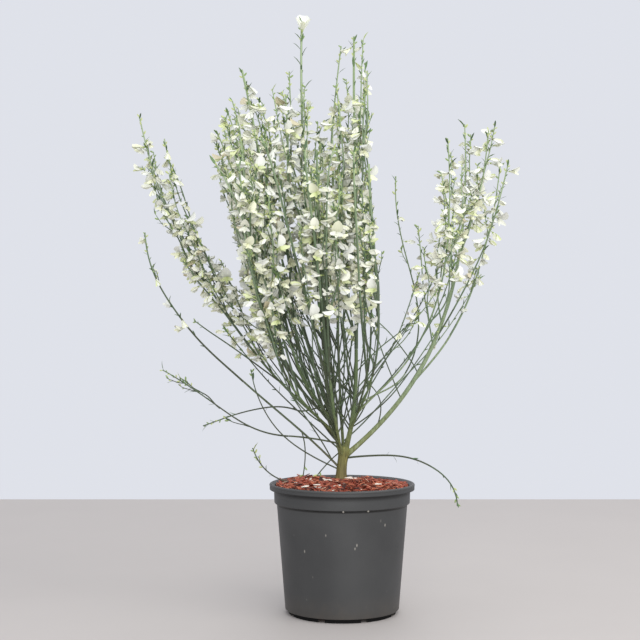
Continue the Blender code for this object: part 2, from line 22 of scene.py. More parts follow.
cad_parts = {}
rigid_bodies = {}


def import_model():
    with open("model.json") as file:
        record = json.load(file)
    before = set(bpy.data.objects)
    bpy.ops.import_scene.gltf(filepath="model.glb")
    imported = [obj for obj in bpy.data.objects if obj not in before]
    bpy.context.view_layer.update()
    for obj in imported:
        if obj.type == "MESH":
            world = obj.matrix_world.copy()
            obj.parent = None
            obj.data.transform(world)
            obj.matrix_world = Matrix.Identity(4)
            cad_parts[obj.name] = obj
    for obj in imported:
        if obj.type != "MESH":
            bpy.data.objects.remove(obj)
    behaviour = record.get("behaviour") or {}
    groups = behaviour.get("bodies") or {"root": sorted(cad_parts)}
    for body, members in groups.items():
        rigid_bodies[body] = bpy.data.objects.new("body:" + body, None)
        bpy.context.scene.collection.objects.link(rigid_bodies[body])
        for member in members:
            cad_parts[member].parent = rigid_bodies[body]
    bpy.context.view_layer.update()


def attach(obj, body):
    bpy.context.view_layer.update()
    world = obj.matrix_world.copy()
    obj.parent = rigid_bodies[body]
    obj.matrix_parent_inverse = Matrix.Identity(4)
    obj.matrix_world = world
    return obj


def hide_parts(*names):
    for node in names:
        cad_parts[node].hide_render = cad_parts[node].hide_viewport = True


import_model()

LOG = logging.getLogger("broom")
Array = np.ndarray
Random = np.random.Generator
Material = bpy.types.Material
# A place, a direction or a set of three sizes.
Point = tuple[float, float, float]
# The least and greatest value of a draw, or the values at a root and a tip.
Span = tuple[float, float]
Colour = tuple[float, float, float]
# Arrays of corners with their tints, one for all or one for each face.
Faces = list[tuple[Array, Array | int]]
# Points, and arrays of corners.
Shape = tuple[Array, list[Array]]
# What the solids keep between a bough's tip and the stem that carries it on.
GAP = 0.0003
UP = np.array([0.0, 0.0, 1.0])
GOLDEN_TURN = math.radians(137.5)
# The camera's place. Sky outlines are drawn as they are seen from it.
EYE = (-0.029, -1.785, 0.383)


class Slot(Enum):
    """The record's material slots."""

    POT = "pot_plastic"
    MULCH = "bark_mulch"
    TRUNK = "trunk_bark"
    BOUGH = "bough_bark"
    WHIPS = "flowering_whips"


# Shader maths


@dataclass(frozen=True)
class Value:
    """A shader socket whose maths is written as Python expressions."""

    book: NodeBook
    socket: bpy.types.NodeSocket

    def _math(self, operation: str, first: Term, second: Term) -> Value:
        """One Math node on two terms."""
        return self.book.add("ShaderNodeMath", {"operation": operation}, {0: first, 1: second})

    def __add__(self, other: Term) -> Value:
        """This plus another."""
        return self._math("ADD", self, other)

    def __sub__(self, other: Term) -> Value:
        """This less another."""
        return self._math("SUBTRACT", self, other)

    def __rsub__(self, other: Term) -> Value:
        """Another less this."""
        return self._math("SUBTRACT", other, self)

    def __mul__(self, other: Term) -> Value:
        """This times another."""
        return self._math("MULTIPLY", self, other)

    __radd__ = __add__
    __rmul__ = __mul__


Term = Value | float


class NodeBook:
    """Adds the nodes of one material."""

    def __init__(self, name: str) -> None:
        """Start a material of this name with its Principled shader."""
        self.material = bpy.data.materials.new(name)
        self.material.use_nodes = True
        self.tree = self.material.node_tree
        self.shader = self.tree.nodes["Principled BSDF"]

    def add(self, kind: str, settings: dict | None = None, inputs: dict | None = None,
            output: int = 0) -> Value:
        """Add a node.

        Args:
            kind: the node's type.
            settings: its properties, and a ramp's stops as (place, grey) pairs under "stops".
            inputs: values or links by socket name or number.
            output: the number of the output that is returned.

        Returns:
            The node's output.
        """
        node = self.tree.nodes.new(kind)
        for key, value in (settings or {}).items():
            if key != "stops":
                setattr(node, key, value)
                continue
            for number, (place, grey) in enumerate(value):
                stop = node.color_ramp.elements[number]
                stop.position = place
                stop.color = (grey, grey, grey, 1.0)
        for key, value in (inputs or {}).items():
            self.feed(node.inputs[key], value)
        return Value(self, node.outputs[output])

    def feed(self, socket: bpy.types.NodeSocket, value: Term | Sequence[float]) -> None:
        """Link a value to a socket, or set a plain number or colour on it.

        Args:
            socket: the socket.
            value: a value of this material, or the number or numbers to set.
        """
        if isinstance(value, Value):
            self.tree.links.new(value.socket, socket)
        elif socket.type == "RGBA":
            socket.default_value = (*value, 1.0)
        else:
            socket.default_value = value

    def place(self, stretch: Sequence[float] = (1.0, 1.0, 1.0)) -> Value:
        """Object coordinates, stretched along the axes."""
        here = self.add("ShaderNodeTexCoord", output=3)
        return self.add("ShaderNodeMapping", None, {"Vector": here, "Scale": stretch})

    def noise(self, scale: float, detail: float = 3.0, where: Value | None = None) -> Value:
        """Noise from 0 to 1, so many waves a metre."""
        where = where or self.place()
        return self.add("ShaderNodeTexNoise", None,
                        {"Vector": where, "Scale": scale, "Detail": detail})

    def ramp(self, factor: Value, low: float, high: float) -> Value:
        """A mask that rises from 0 to 1 between two values."""
        stops = [(low, 0.0), (high, 1.0)]
        return self.add("ShaderNodeValToRGB", {"stops": stops}, {"Fac": factor})

    def height(self) -> Value:
        """The height over the pot's underside, in metres."""
        return self.add("ShaderNodeSeparateXYZ", None, {"Vector": self.place()}, output=2)

    def rise(self, height: Value, start: float, reach: float) -> Value:
        """A mask that rises from 0 to 1 over a reach above a start, both in metres."""
        return self.ramp(height * 100.0 - start * 100.0, 0.0, reach * 100.0)

    def mix(self, factor: Term, first: Value | Colour, second: Value | Colour) -> Value:
        """A colour between two."""
        return self.add("ShaderNodeMix", {"data_type": "RGBA"},
                        {0: factor, 6: first, 7: second}, output=2)

    def bump(self, height: Value, depth: float) -> None:
        """Relief of this depth in metres on the shader's normal."""
        relief = self.add("ShaderNodeBump", None, {"Height": height, "Distance": depth})
        self.feed(self.shader.inputs["Normal"], relief)

    def finish(self, colour: Value | Colour, roughness: Term) -> Material:
        """Set the shader's colour and roughness and return the material."""
        self.feed(self.shader.inputs["Base Color"], colour)
        self.feed(self.shader.inputs["Roughness"], roughness)
        return self.material


# Finishes


@dataclass(frozen=True)
class Tint:
    """A plain colour dealt out by spray, with a fine grain in its gloss and relief.

    The spread is how far its clouds go from the colour, and the swing how much the roughness
    varies. The grain is in waves a metre and the relief's depth in metres.
    """

    name: str
    colour: Colour
    roughness: float = 0.55
    spread: float = 0.0
    grain: float = 700.0
    depth: float = 0.00008
    gleam: float = 0.5
    swing: float = 0.12

    def material(self) -> Material:
        """The finish: a plain or faintly clouded colour, with noise in its gloss and relief."""
        book = NodeBook(self.name)
        book.feed(book.shader.inputs["Specular IOR Level"], self.gleam)
        grain = book.noise(self.grain, 2.0)
        book.bump(grain, self.depth)
        gloss = self.roughness - self.swing / 2 + grain * self.swing
        if not self.spread:
            return book.finish(self.colour, gloss)
        darker = tuple(part * (1.0 - self.spread) for part in self.colour)
        lighter = tuple(min(part * (1.0 + self.spread), 0.95) for part in self.colour)
        return book.finish(book.mix(grain, darker, lighter), gloss)


def painted(tints: Sequence[Tint]) -> list[Material]:
    """Each tint's material."""
    return [tint.material() for tint in tints]


@dataclass(frozen=True)
class PotPlastic:
    """Dark grey moulded plastic, satin, with scuffs, splashes and dust near its foot.

    A band of painted shadow, under the step or the lip, has the height where it starts with the
    reach over which it sets in, and the height where it ends with the reach over which it goes.
    """

    colour: Colour = (0.033, 0.034, 0.0345)
    worn: Colour = (0.052, 0.053, 0.053)
    dust: Colour = (0.12, 0.095, 0.070)
    splash: Colour = (0.42, 0.39, 0.34)
    painted_shadow: Colour = (0.004, 0.004, 0.004)
    painted_lip_highlight: Colour = (0.105, 0.098, 0.094)
    roughness: float = 0.44
    dusty: Span = (0.0025, 0.0350)
    # Heights of the painted shadow bands: under the step's ledge and under the lip.
    under_step: tuple[float, ...] = (0.1405, 0.0006, 0.1438, 0.0004)
    under_lip: tuple[float, ...] = (0.1555, 0.0040, 0.1624, 0.0002)
    # Where the painted highlight on the lip's top starts, and its reach.
    lip_top: Span = (0.1675, 0.0020)

    def material(self) -> Material:
        """The finish: wear and streaks, sparse pale splashes, an earthy foot and a painted lip highlight.
        """
        book = NodeBook("pot_plastic_satin")
        clouds = book.ramp(book.noise(14.0, 5.0), 0.38, 0.72)
        streaks = book.noise(60.0, 3.0, book.place((1.0, 1.0, 0.12)))
        base = book.mix(clouds * 0.55 + streaks * 0.25, self.colour, self.worn)
        cells = book.add("ShaderNodeTexVoronoi", {"feature": "F1"},
                         {"Vector": book.place((1.0, 1.0, 0.45)), "Scale": 125.0})
        chance = book.ramp(book.noise(34.0, 1.0), 0.56, 0.66)
        splashes = (1.0 - book.ramp(cells, 0.05, 0.15)) * chance
        base = book.mix(splashes * 0.60, base, self.splash)
        height = book.height()
        clean = book.ramp(height * 12.0, 12.0 * self.dusty[0], 12.0 * self.dusty[1])
        base = book.mix((1.0 - clean) * book.noise(90.0, 4.0) * 0.45, base, self.dust)
        # Painted shadow: near-black bands under the step and under the lip, where shade falls.
        step, lip = (
            book.rise(height, start, sets_in) - book.rise(height, end, goes)
            for start, sets_in, end, goes in (self.under_step, self.under_lip)
        )
        base = book.mix((step + lip) * 0.86, base, self.painted_shadow)
        # Painted highlight: the lip's top is made lighter, where light falls on it.
        base = book.mix(book.rise(height, *self.lip_top) * 0.5, base, self.painted_lip_highlight)
        book.bump(book.noise(900.0, 3.0), 0.00012)
        rough = self.roughness + book.noise(35.0, 4.0) * 0.16 + splashes * 0.2
        return book.finish(base, rough)


@dataclass(frozen=True)
class Bark:
    """Young broom bark: green ribs that turn ochre and brown towards the foot."""

    name: str
    green: Colour
    brown: Colour
    light: Colour
    foot: float
    head: float

    def material(self) -> Material:
        """The finish: brown below and green above, streaked along the limb, with pale corky marks."""
        book = NodeBook(self.name)
        streaks = book.noise(420.0, 4.0, book.place((1.0, 1.0, 0.10)))
        blotches = book.noise(95.0, 4.0, book.place((1.0, 1.0, 0.45)))
        height = book.height()
        rise = (height - self.foot) * (1.0 / (self.head - self.foot))
        upward = book.ramp(rise + blotches * 0.5 - 0.25, 0.0, 1.0)
        base = book.mix(upward, self.brown, self.green)
        base = book.mix(book.ramp(streaks, 0.52, 0.70) * 0.55, base, self.light)
        dark = tuple(part * 0.35 for part in self.brown)
        base = book.mix((1.0 - book.ramp(streaks, 0.30, 0.44)) * 0.6, base, dark)
        book.bump(streaks + blotches * 0.5, 0.0004)
        return book.finish(base, 0.62 + blotches * 0.2)


@dataclass(frozen=True)
class Bedding:
    """Damp crumbs of bark and peat between the chips."""

    dark: Colour = (0.035, 0.012, 0.008)
    red: Colour = (0.26, 0.055, 0.026)

    def material(self) -> Material:
        """The finish: dark crumbs mixed with red ones, and a coarse relief."""
        book = NodeBook("mulch_crumbs")
        crumbs = book.noise(260.0, 6.0)
        book.bump(crumbs, 0.0025)
        base = book.mix(book.ramp(crumbs, 0.42, 0.62), self.dark, self.red)
        return book.finish(base, 0.88)


@dataclass(frozen=True)
class StudioFloor:
    """A plain pale floor."""

    colour: Colour = (0.50, 0.465, 0.44)

    def material(self) -> Material:
        """The finish: a faint cloudiness on pale matt board."""
        book = NodeBook("pale_floor")
        clouds = book.noise(6.0, 3.0)
        lighter = tuple(part * 1.05 for part in self.colour)
        return book.finish(book.mix(clouds, self.colour, lighter), 0.7)


# Surfaces worked out as whole arrays


def unit(vectors: Array) -> Array:
    """Vectors scaled to length one."""
    return vectors / np.maximum(np.linalg.norm(vectors, axis=-1, keepdims=True), 1e-12)


def ripples(points: Array, scale: float, seed: int, waves: int = 26) -> Array:
    """Smooth noise of about unit height.

    The height at a point is the sum of plane waves of random direction and phase, each the cosine
    of the point's product with the wave's direction plus its phase, over the root of half their
    number.

    Args:
        points: places, with three numbers each in the last axis.
        scale: waves a unit of length.
        seed: the seed of the directions and phases.
        waves: how many waves are added.

    Returns:
        A height for each point.
    """
    random = np.random.default_rng(seed)
    ways = unit(random.normal(size=(waves, 3))) * random.uniform(0.5, 1.6, (waves, 1))
    phases = random.uniform(0.0, 2 * math.pi, waves)
    return np.cos(points @ ways.T * (2 * math.pi * scale) + phases).sum(-1) / math.sqrt(waves / 2)


def even_turns(count: int) -> Array:
    """Angles dealt evenly round a circle."""
    return np.arange(count) * 2 * math.pi / count


def outward(turns: Array) -> Array:
    """Level unit directions at these angles about +Z."""
    return np.stack([np.cos(turns), np.sin(turns), 0.0 * turns], axis=-1)


def turned(first: Array, second: Array, angle: Array | float) -> Array:
    """The first direction turned by an angle towards the second, which is square to it."""
    return first * np.cos(angle) + second * np.sin(angle)


def grid_quads(rows: int, columns: int, closed: bool = True) -> Array:
    """The faces of a grid: each runs to the next row, along it, back and home.

    Args:
        rows: how many rows of points there are.
        columns: how many points a row has.
        closed: whether each row closes on itself.

    Returns:
        (faces, 4) numbers of points, which are counted row by row.
    """
    row, column = np.meshgrid(np.arange(rows - 1), np.arange(columns - (not closed)), indexing="ij")
    after = (column + 1) % columns
    return np.stack([row * columns + column, (row + 1) * columns + column,
                     (row + 1) * columns + after, row * columns + after], axis=-1).reshape(-1, 4)


def ring_section(sides: int, ribs: int = 0, rib_depth: float = 0.0) -> Array:
    """A closed outline of about unit radius: a circle whose radius waves once a rib."""
    turns = even_turns(sides)
    radius = 1.0 + rib_depth * np.cos(turns * ribs)
    return radius[:, None] * outward(turns)[:, :2]


def square_axes(lines: Array) -> tuple[Array, Array]:
    """Two unit axes square to each line at each of its points.

    The first is the product of the line's direction and the normal of the plane that it bends in,
    and the second the product of the direction and the first. A line that is all but straight
    takes the product of its first direction and a level axis as its normal.

    Args:
        lines: (lines, rings, 3) points.

    Returns:
        The two axes, each (lines, rings, 3).
    """
    ways = unit(np.gradient(lines, axis=1))
    root = ways[:, 0]
    normals = np.cross(root, ways[:, -1])
    straight = np.linalg.norm(normals, axis=1, keepdims=True) < 0.04
    level = np.where(np.abs(root[:, 1:2]) > 0.9, [1.0, 0.0, 0.0], [0.0, 1.0, 0.0])
    normals = unit(np.where(straight, np.cross(root, level), normals))[:, None]
    across = unit(np.cross(ways, normals))
    return across, np.cross(ways, across)


def carried(lines: Array, widths: Array, section: Array, flat: float = 1.0,
            relief: Array | float = 1.0) -> tuple[Array, Array, Array]:
    """Carry a closed outline along many lines at once.

    A point is the line's point plus the outline's two numbers, times the half-width there, along
    the two axes square to the line. The second axis is pressed by the flatness.

    Args:
        lines: (lines, rings, 3) points.
        widths: (lines, rings) half-widths.
        section: (sides, 2) outline, turning from the first axis to the second.
        flat: thickness over width.
        relief: (lines, rings, sides) factors on the outline, or one for all.

    Returns:
        The points, the sides' quads ordered by line and ring, and the end faces by line, root
        first.
    """
    count, rings, _ = lines.shape
    sides = len(section)
    across, deep = square_axes(lines)
    reach = widths[:, :, None] * relief
    points = (
        lines[:, :, None]
        + across[:, :, None] * (reach * section[:, 0])[..., None]
        + deep[:, :, None] * (reach * section[:, 1] * flat)[..., None]
    )
    starts = (np.arange(count) * rings * sides)[:, None, None]
    quads = (grid_quads(rings, sides)[:, [0, 3, 2, 1]] + starts).reshape(-1, 4)
    ends = np.stack([np.arange(sides)[::-1], (rings - 1) * sides + np.arange(sides)])
    return points.reshape(-1, 3), quads, (ends + starts).reshape(-1, sides)


def revolved(profile: Array, sides: int, swell: Array | float = 0.0,
             lift: Array | float = 0.0) -> tuple[Array, Faces]:
    """Turn a profile about +Z, from a point on the axis to another.

    A point is the profile's radius plus the swell, times the cosine and sine of the turn, and the
    profile's height plus the lift.

    Args:
        profile: (points, 2) radius and height, running down the outer side.
        sides: how many points a ring has.
        swell: (points, sides) added to the radius.
        lift: (points, sides) added to the height.

    Returns:
        The points, and the faces in the first tint.
    """
    turns = even_turns(sides)
    middle = profile[1:-1]
    radius = middle[:, :1] + swell
    height = np.broadcast_to(middle[:, 1:] + lift, (len(middle), sides))
    rings = np.stack([radius * np.cos(turns), radius * np.sin(turns), height], axis=-1)
    first = [0.0, 0.0, rings[0, :, 2].mean()]
    last = [0.0, 0.0, profile[-1, 1]]
    points = np.concatenate([rings.reshape(-1, 3), [first, last]])
    side = np.arange(sides)
    after = (side + 1) % sides
    base = (len(middle) - 1) * sides
    pole = len(points) - 2
    top = np.stack([np.full(sides, pole), side, after], axis=1)
    bottom = np.stack([np.full(sides, pole + 1), base + after, base + side], axis=1)
    return points, [(grid_quads(len(middle), sides), 0), (np.concatenate([top, bottom]), 0)]


def softened(profile: Sequence[Span], radius: float, steps: int = 4) -> Array:
    """Round a profile's corners.

    Each inner corner becomes the quadratic curve between a point before it and one after it, with
    the corner as its handle.

    Args:
        profile: (radius, height) points.
        radius: how far from a corner its curve starts.
        steps: points on each curve.

    Returns:
        The rounded profile.
    """
    points = np.array(profile, dtype=float)
    before, corner, after = points[:-2], points[1:-1], points[2:]
    back, forth = before - corner, after - corner
    reach = np.minimum(radius, 0.42 * np.minimum(np.linalg.norm(back, axis=1),
                                                 np.linalg.norm(forth, axis=1)))[:, None]
    start, end = corner + unit(back) * reach, corner + unit(forth) * reach
    t = np.linspace(0.0, 1.0, steps)[None, :, None]
    curves = (1 - t) ** 2 * start[:, None] + 2 * (1 - t) * t * corner[:, None] + t**2 * end[:, None]
    return np.concatenate([points[:1], curves.reshape(-1, 2), points[-1:]])


@dataclass(frozen=True)
class Blade:
    """A petal or a leaf as a small grid.

    Along it the middle line starts at one slope and turns evenly to another. Across it the
    half-width follows the outline, and the sides lift by the square of their distance from the
    middle. The middle of the far edge stands out by the bulge.
    """

    length: float
    width: float
    outline: tuple[float, ...]
    columns: int = 3
    slope: float = 0.0
    bend: float = 0.0
    cup: float = 0.0
    roll: float = 0.0
    bulge: float = 0.0
    at: Point = (0.0, 0.0, 0.0)

    def shape(self) -> Shape:
        """The grid, its root at the given place, rolled about its own length."""
        rows = len(self.outline)
        along = np.linspace(0.0, 1.0, rows)
        slopes = self.slope + self.bend * along
        steps = np.stack([np.cos(slopes), np.sin(slopes)], axis=1) * self.length / (rows - 1)
        middle = np.concatenate([np.zeros((1, 2)), np.cumsum(steps[:-1], axis=0)])
        half = np.array(self.outline)[:, None] * self.width / 2
        v = np.linspace(-1.0, 1.0, self.columns)[None]
        raised = self.cup * half * v**2
        out = self.bulge * self.length * (1.0 - np.abs(v)) * along[:, None] ** 4
        x = middle[:, :1] - np.sin(slopes)[:, None] * raised + np.cos(slopes)[:, None] * out
        z = middle[:, 1:] + np.cos(slopes)[:, None] * raised + np.sin(slopes)[:, None] * out
        y = half * v
        c, s = math.cos(self.roll), math.sin(self.roll)
        rolled = np.stack([x + 0 * v, y * c - z * s, y * s + z * c], axis=-1).reshape(-1, 3)
        return rolled + np.array(self.at), [grid_quads(rows, self.columns, False)]


@dataclass
class Pattern:
    """A small shape that is dealt out many times: points in its own axes, and its faces."""

    points: Array
    faces: list[Array]

    @staticmethod
    def of(*shapes: Shape) -> Pattern:
        """One pattern from several shapes."""
        points, faces, count = [], [], 0
        for shape, parts in shapes:
            points.append(shape)
            faces += [part + count for part in parts]
            count += len(shape)
        return Pattern(np.concatenate(points), faces)

    @staticmethod
    def stem(line: Sequence[Sequence[float]], widths: Sequence[float], sides: int) -> Shape:
        """A closed round shape carried along one short line."""
        points, *faces = carried(np.array([line], dtype=float), np.array([widths]),
                                 ring_section(sides))
        return points, faces

    def dealt(self, roots: Array, axes: Array, sizes: Array, tints: Array) -> tuple[Array, Faces]:
        """Deal the shape out.

        Args:
            roots: (copies, 3) places.
            axes: (copies, 3, 3) unit axes, a row each.
            sizes: (copies,) factors.
            tints: (copies,) numbers of their colours.

        Returns:
            The points, and the faces as pairs of an array and its tints.
        """
        points = roots[:, None] + np.einsum("vk,nkc->nvc", self.points, axes) * sizes[:, None, None]
        starts = (np.arange(len(roots)) * len(self.points))[:, None, None]
        faces = [
            ((part[None] + starts).reshape(-1, part.shape[1]), np.repeat(tints, len(part)))
            for part in self.faces
        ]
        return points.reshape(-1, 3), faces


def gathered(parts: Sequence[tuple[Array, ...]]) -> list[Array]:
    """The columns of many sets of arrays, each joined from all of them."""
    return [np.concatenate(column) for column in zip(*parts)]


def placed(name: str, data: bpy.types.ID) -> bpy.types.Object:
    """An object of this name and data, in the scene."""
    thing = bpy.data.objects.new(name, data)
    bpy.context.scene.collection.objects.link(thing)
    return thing


class Joined:
    """Gathers shapes of one kind and puts them into one piece."""

    def __init__(self) -> None:
        """Start with nothing."""
        self.points: list[Array] = []
        self.faces: list[tuple[Array, Array, Array]] = []
        self.count = 0

    def add(self, points: Array, faces: Faces) -> None:
        """Add points and the faces between them.

        Args:
            points: (points, 3) places.
            faces: arrays of corners with their tints.
        """
        for part, tints in faces:
            corners, sizes = (part + self.count).ravel(), np.full(len(part), part.shape[1])
            self.faces.append((corners, sizes, np.broadcast_to(tints, len(part))))
        self.points.append(points)
        self.count += len(points)

    def piece(self, name: str, materials: Sequence[Material], slot: Slot,
              replaces: Sequence[str] = (), sharp: float = 60.0) -> bpy.types.Object:
        """Make the piece, shade it smooth, seat it on the part's body and report it.

        Args:
            name: the piece's name.
            materials: its finishes, by tint.
            slot: the record's slot; not used.
            replaces: the solids that it stands for.
            sharp: edges sharper than this angle in degrees stay sharp.

        Returns:
            The piece.
        """
        mesh = bpy.data.meshes.new(name)
        points = np.concatenate(self.points)
        corners, sizes, tints = gathered(self.faces)
        mesh.vertices.add(len(points))
        mesh.vertices.foreach_set("co", points.astype(np.float32).ravel())
        mesh.loops.add(len(corners))
        mesh.loops.foreach_set("vertex_index", corners.astype(np.int32))
        mesh.polygons.add(len(sizes))
        mesh.polygons.foreach_set("loop_start", (np.cumsum(sizes) - sizes).astype(np.int32))
        for material in materials:
            mesh.materials.append(material)
        mesh.polygons.foreach_set("material_index", tints.astype(np.int32))
        mesh.update(calc_edges=True)
        mesh.validate()
        mesh.shade_smooth()
        mesh.set_sharp_from_angle(angle=math.radians(sharp))
        thing = placed(name, mesh)
        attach(thing, "root")
        if replaces:
            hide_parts(*replaces)
        LOG.info("%s: %d triangles", name, (sizes - 2).sum())
        return thing


# The growth rule of the solids


@dataclass(frozen=True)
class Limb:
    """A tapering bough: where it leaves its parent, where it ends, how it leans and its radii.

    Slim is a factor on its radii here, because the photograph's are finer than the solid's.
    """

    name: str
    parent: str
    share: float
    tip: Point
    leans: Span
    radii: Span
    shift: Span = (0.0, 0.0)
    slim: float = 1.0


@dataclass(frozen=True)
class Habit:
    """How a mass is carried on.

    Finer whips are counted against the solids' whips, foot whips and fan whips one by one. The
    pitch is from flower to flower. Blossom ends at the last share, sooner on some leaders. Kept and
    open are the odds that a solid's whip is drawn and that a flower is wide open, and slim is a
    factor on radii.
    """

    fine: float = 0.8
    foot: int = 2
    pitch: float = 0.0140
    last: float = 0.98
    leader_last: float = 0.98
    kept: float = 1.0
    open: float = 0.28
    fan: int = 2
    slim: float = 1.0


BARE = Habit(0.0, 0, 0.060, 1.0, kept=0.34, fan=0, slim=0.90)
OPEN = Habit(0.10, 0, 0.0098, 0.99, kept=0.30, open=0.14, fan=1, slim=0.72)


@dataclass(frozen=True)
class Mass:
    """A sheaf of whips: its bough, its leader's tip and lean, its whips, spread and bloom."""

    name: str
    limb: str
    tip: Point
    lean: float
    whips: int
    spread: float
    bloom: float
    seed: int
    share: float = 1.0
    leave: float = 0.0
    radius: float = 0.0018
    habit: Habit = Habit()


BOUGHS = [
    Limb("bough_right", "trunk", 0.66, (0.138, 0.018, 0.396), (52, 18), (0.0034, 0.0023)),
    Limb("bough_centre_right", "trunk", 0.92, (0.018, -0.018, 0.345), (25, 0), (0.0033, 0.0022),
         (0.0010, 0.0)),
    Limb("bough_centre", "trunk", 0.54, (-0.024, 0.010, 0.344), (17, 5), (0.0028, 0.0020)),
    Limb("bough_front", "trunk", 0.60, (-0.017, -0.066, 0.312), (40, 22), (0.0022, 0.0018), slim=0.92),
    Limb("bough_back", "trunk", 0.74, (-0.003, 0.076, 0.320), (42, 24), (0.0023, 0.0018), slim=0.90),
    Limb("bough_left_low", "trunk", 0.26, (-0.128, -0.022, 0.303), (43, 48), (0.0016, 0.0014), slim=0.86),
    Limb("bough_left", "bough_centre", 0.37, (-0.065, -0.009, 0.345), (46, 15), (0.0022, 0.0018),
         slim=0.92),
    Limb("bough_left_outer", "bough_centre", 0.24, (-0.122, 0.017, 0.348), (48, 37),
         (0.0019, 0.0016), slim=0.88),
    Limb("bough_left_front", "bough_centre", 0.20, (-0.070, -0.064, 0.308), (46, 36),
         (0.0017, 0.0015), slim=0.90),
    Limb("bough_left_back", "bough_centre", 0.30, (-0.078, 0.070, 0.322), (46, 36),
         (0.0018, 0.0015), slim=0.88),
    Limb("bough_low_left", "bough_centre", 0.155, (-0.070, -0.004, 0.231), (78, 86),
         (0.0013, 0.0012), slim=0.86),
    Limb("bough_droop_left", "bough_centre", 0.46, (-0.060, 0.026, 0.263), (58, 74),
         (0.0012, 0.0011), slim=0.86),
    Limb("bough_front_right", "bough_centre_right", 0.18, (0.037, -0.066, 0.312), (38, 28),
         (0.0017, 0.0014), slim=0.88),
    Limb("bough_back_right", "bough_centre_right", 0.18, (0.036, 0.068, 0.312), (40, 28),
         (0.0017, 0.0014), slim=0.88),
    Limb("bough_right_upper", "bough_centre_right", 0.30, (0.084, -0.038, 0.332), (38, 36),
         (0.0016, 0.0014), slim=0.74),
    Limb("bough_right_inner", "bough_centre_right", 0.40, (0.085, 0.031, 0.312), (46, 38),
         (0.0015, 0.0013), slim=0.72),
    Limb("bough_right_far", "bough_right", 0.37, (0.148, 0.064, 0.362), (40, 38),
         (0.0018, 0.0015), slim=0.86),
]

MASSES = [
    Mass("mass_leader", "bough_centre", (-0.0525, 0.010, 0.777), -3, 9, 0.046, 0.22, 11,
         habit=Habit(0.8, 3, 0.0134, 0.92, 0.80, fan=3)),
    Mass("mass_centre_right", "bough_centre_right", (0.0150, -0.024, 0.750), 0, 9, 0.038, 0.18, 12,
         habit=Habit(0.8, 3, 0.0145, 0.99, fan=2)),
    Mass("mass_left_inner", "bough_left", (-0.1300, -0.030, 0.706), 14, 8, 0.042, 0.20, 13,
         habit=Habit(0.6, 3, 0.0136, fan=7)),
    Mass("mass_outer_left", "bough_left_outer", (-0.2700, 0.030, 0.654), 12, 8, 0.032, 0.22, 14,
         habit=Habit(0.20, 1, 0.0112, 0.99, open=0.16, fan=3, slim=0.78)),
    Mass("mass_left_lean", "bough_left_low", (-0.2510, -0.060, 0.494), 4, 5, 0.040, 0.42, 15,
         habit=Habit(0.0, 0, 0.0125, 0.99, kept=0.4, open=0.05, fan=0, slim=0.80)),
    Mass("mass_left_upper", "bough_left_back", (-0.1620, 0.106, 0.648), 12, 8, 0.046, 0.22, 16,
         habit=Habit(0.7, 3, 0.0130, 0.99, open=0.24, fan=7, slim=0.90)),
    Mass("mass_left_front", "bough_left_front", (-0.1270, -0.118, 0.610), 8, 7, 0.042, 0.24, 17,
         habit=Habit(0.7, 3, 0.0130, 0.99, open=0.26, fan=7, slim=0.90)),
    Mass("mass_front", "bough_front", (-0.0330, -0.134, 0.590), 8, 7, 0.042, 0.24, 18,
         habit=Habit(0.8, 2, 0.0134, fan=3)),
    Mass("mass_back", "bough_back", (-0.0120, 0.146, 0.676), 8, 7, 0.046, 0.22, 19,
         habit=Habit(0.8, 2, 0.0165, fan=3)),
    Mass("mass_front_right", "bough_front_right", (0.0310, -0.112, 0.575), 6, 6, 0.026, 0.26, 20),
    Mass("mass_back_right", "bough_back_right", (0.0340, 0.116, 0.590), 6, 6, 0.028, 0.26, 21),
    Mass("mass_right_inner", "bough_right_inner", (0.0735, 0.050, 0.577), -8, 4, 0.022, 0.40, 22,
         habit=Habit(0.0, 0, 0.0180, 0.99, kept=0.3, open=0.05, fan=1, slim=0.72)),
    Mass("mass_right_upper", "bough_right_upper", (0.1320, -0.070, 0.612), -4, 6, 0.030, 0.34, 23,
         habit=Habit(0.10, 0, 0.0135, 0.99, kept=0.30, open=0.12, fan=1, slim=0.72)),
    Mass("mass_right_outer", "bough_right", (0.1620, 0.012, 0.642), -2, 8, 0.034, 0.26, 24, habit=OPEN),
    Mass("mass_right_far", "bough_right_far", (0.2200, 0.086, 0.604), 8, 6, 0.032, 0.32, 25, habit=OPEN),
    Mass("low_whips_left", "bough_low_left", (-0.2340, -0.014, 0.318), 62, 3, 0.026, 0.50, 26,
         radius=0.0012, habit=BARE),
    Mass("drooping_whips_left", "bough_droop_left", (-0.1860, 0.040, 0.241), 108, 2, 0.018, 0.50,
         27, radius=0.0012, habit=BARE),
    Mass("drooping_whip_right", "trunk", (0.1490, -0.024, 0.142), 168, 1, 0.014, 0.60, 28,
         0.50, 76.0, 0.0013, habit=BARE),
    Mass("basal_shoot", "trunk", (-0.1180, 0.012, 0.214), 40, 1, 0.014, 0.70, 29,
         0.09, 84.0, 0.0012, habit=BARE),
]


@dataclass(frozen=True)
class Single:
    """A whip that shows singly: its mass and limb, and the points that it passes and ends at."""

    mass: str
    limb: str
    share: float
    through: Point
    tip: Point
    bloom: float = 1.0
    radius: float = 0.0011


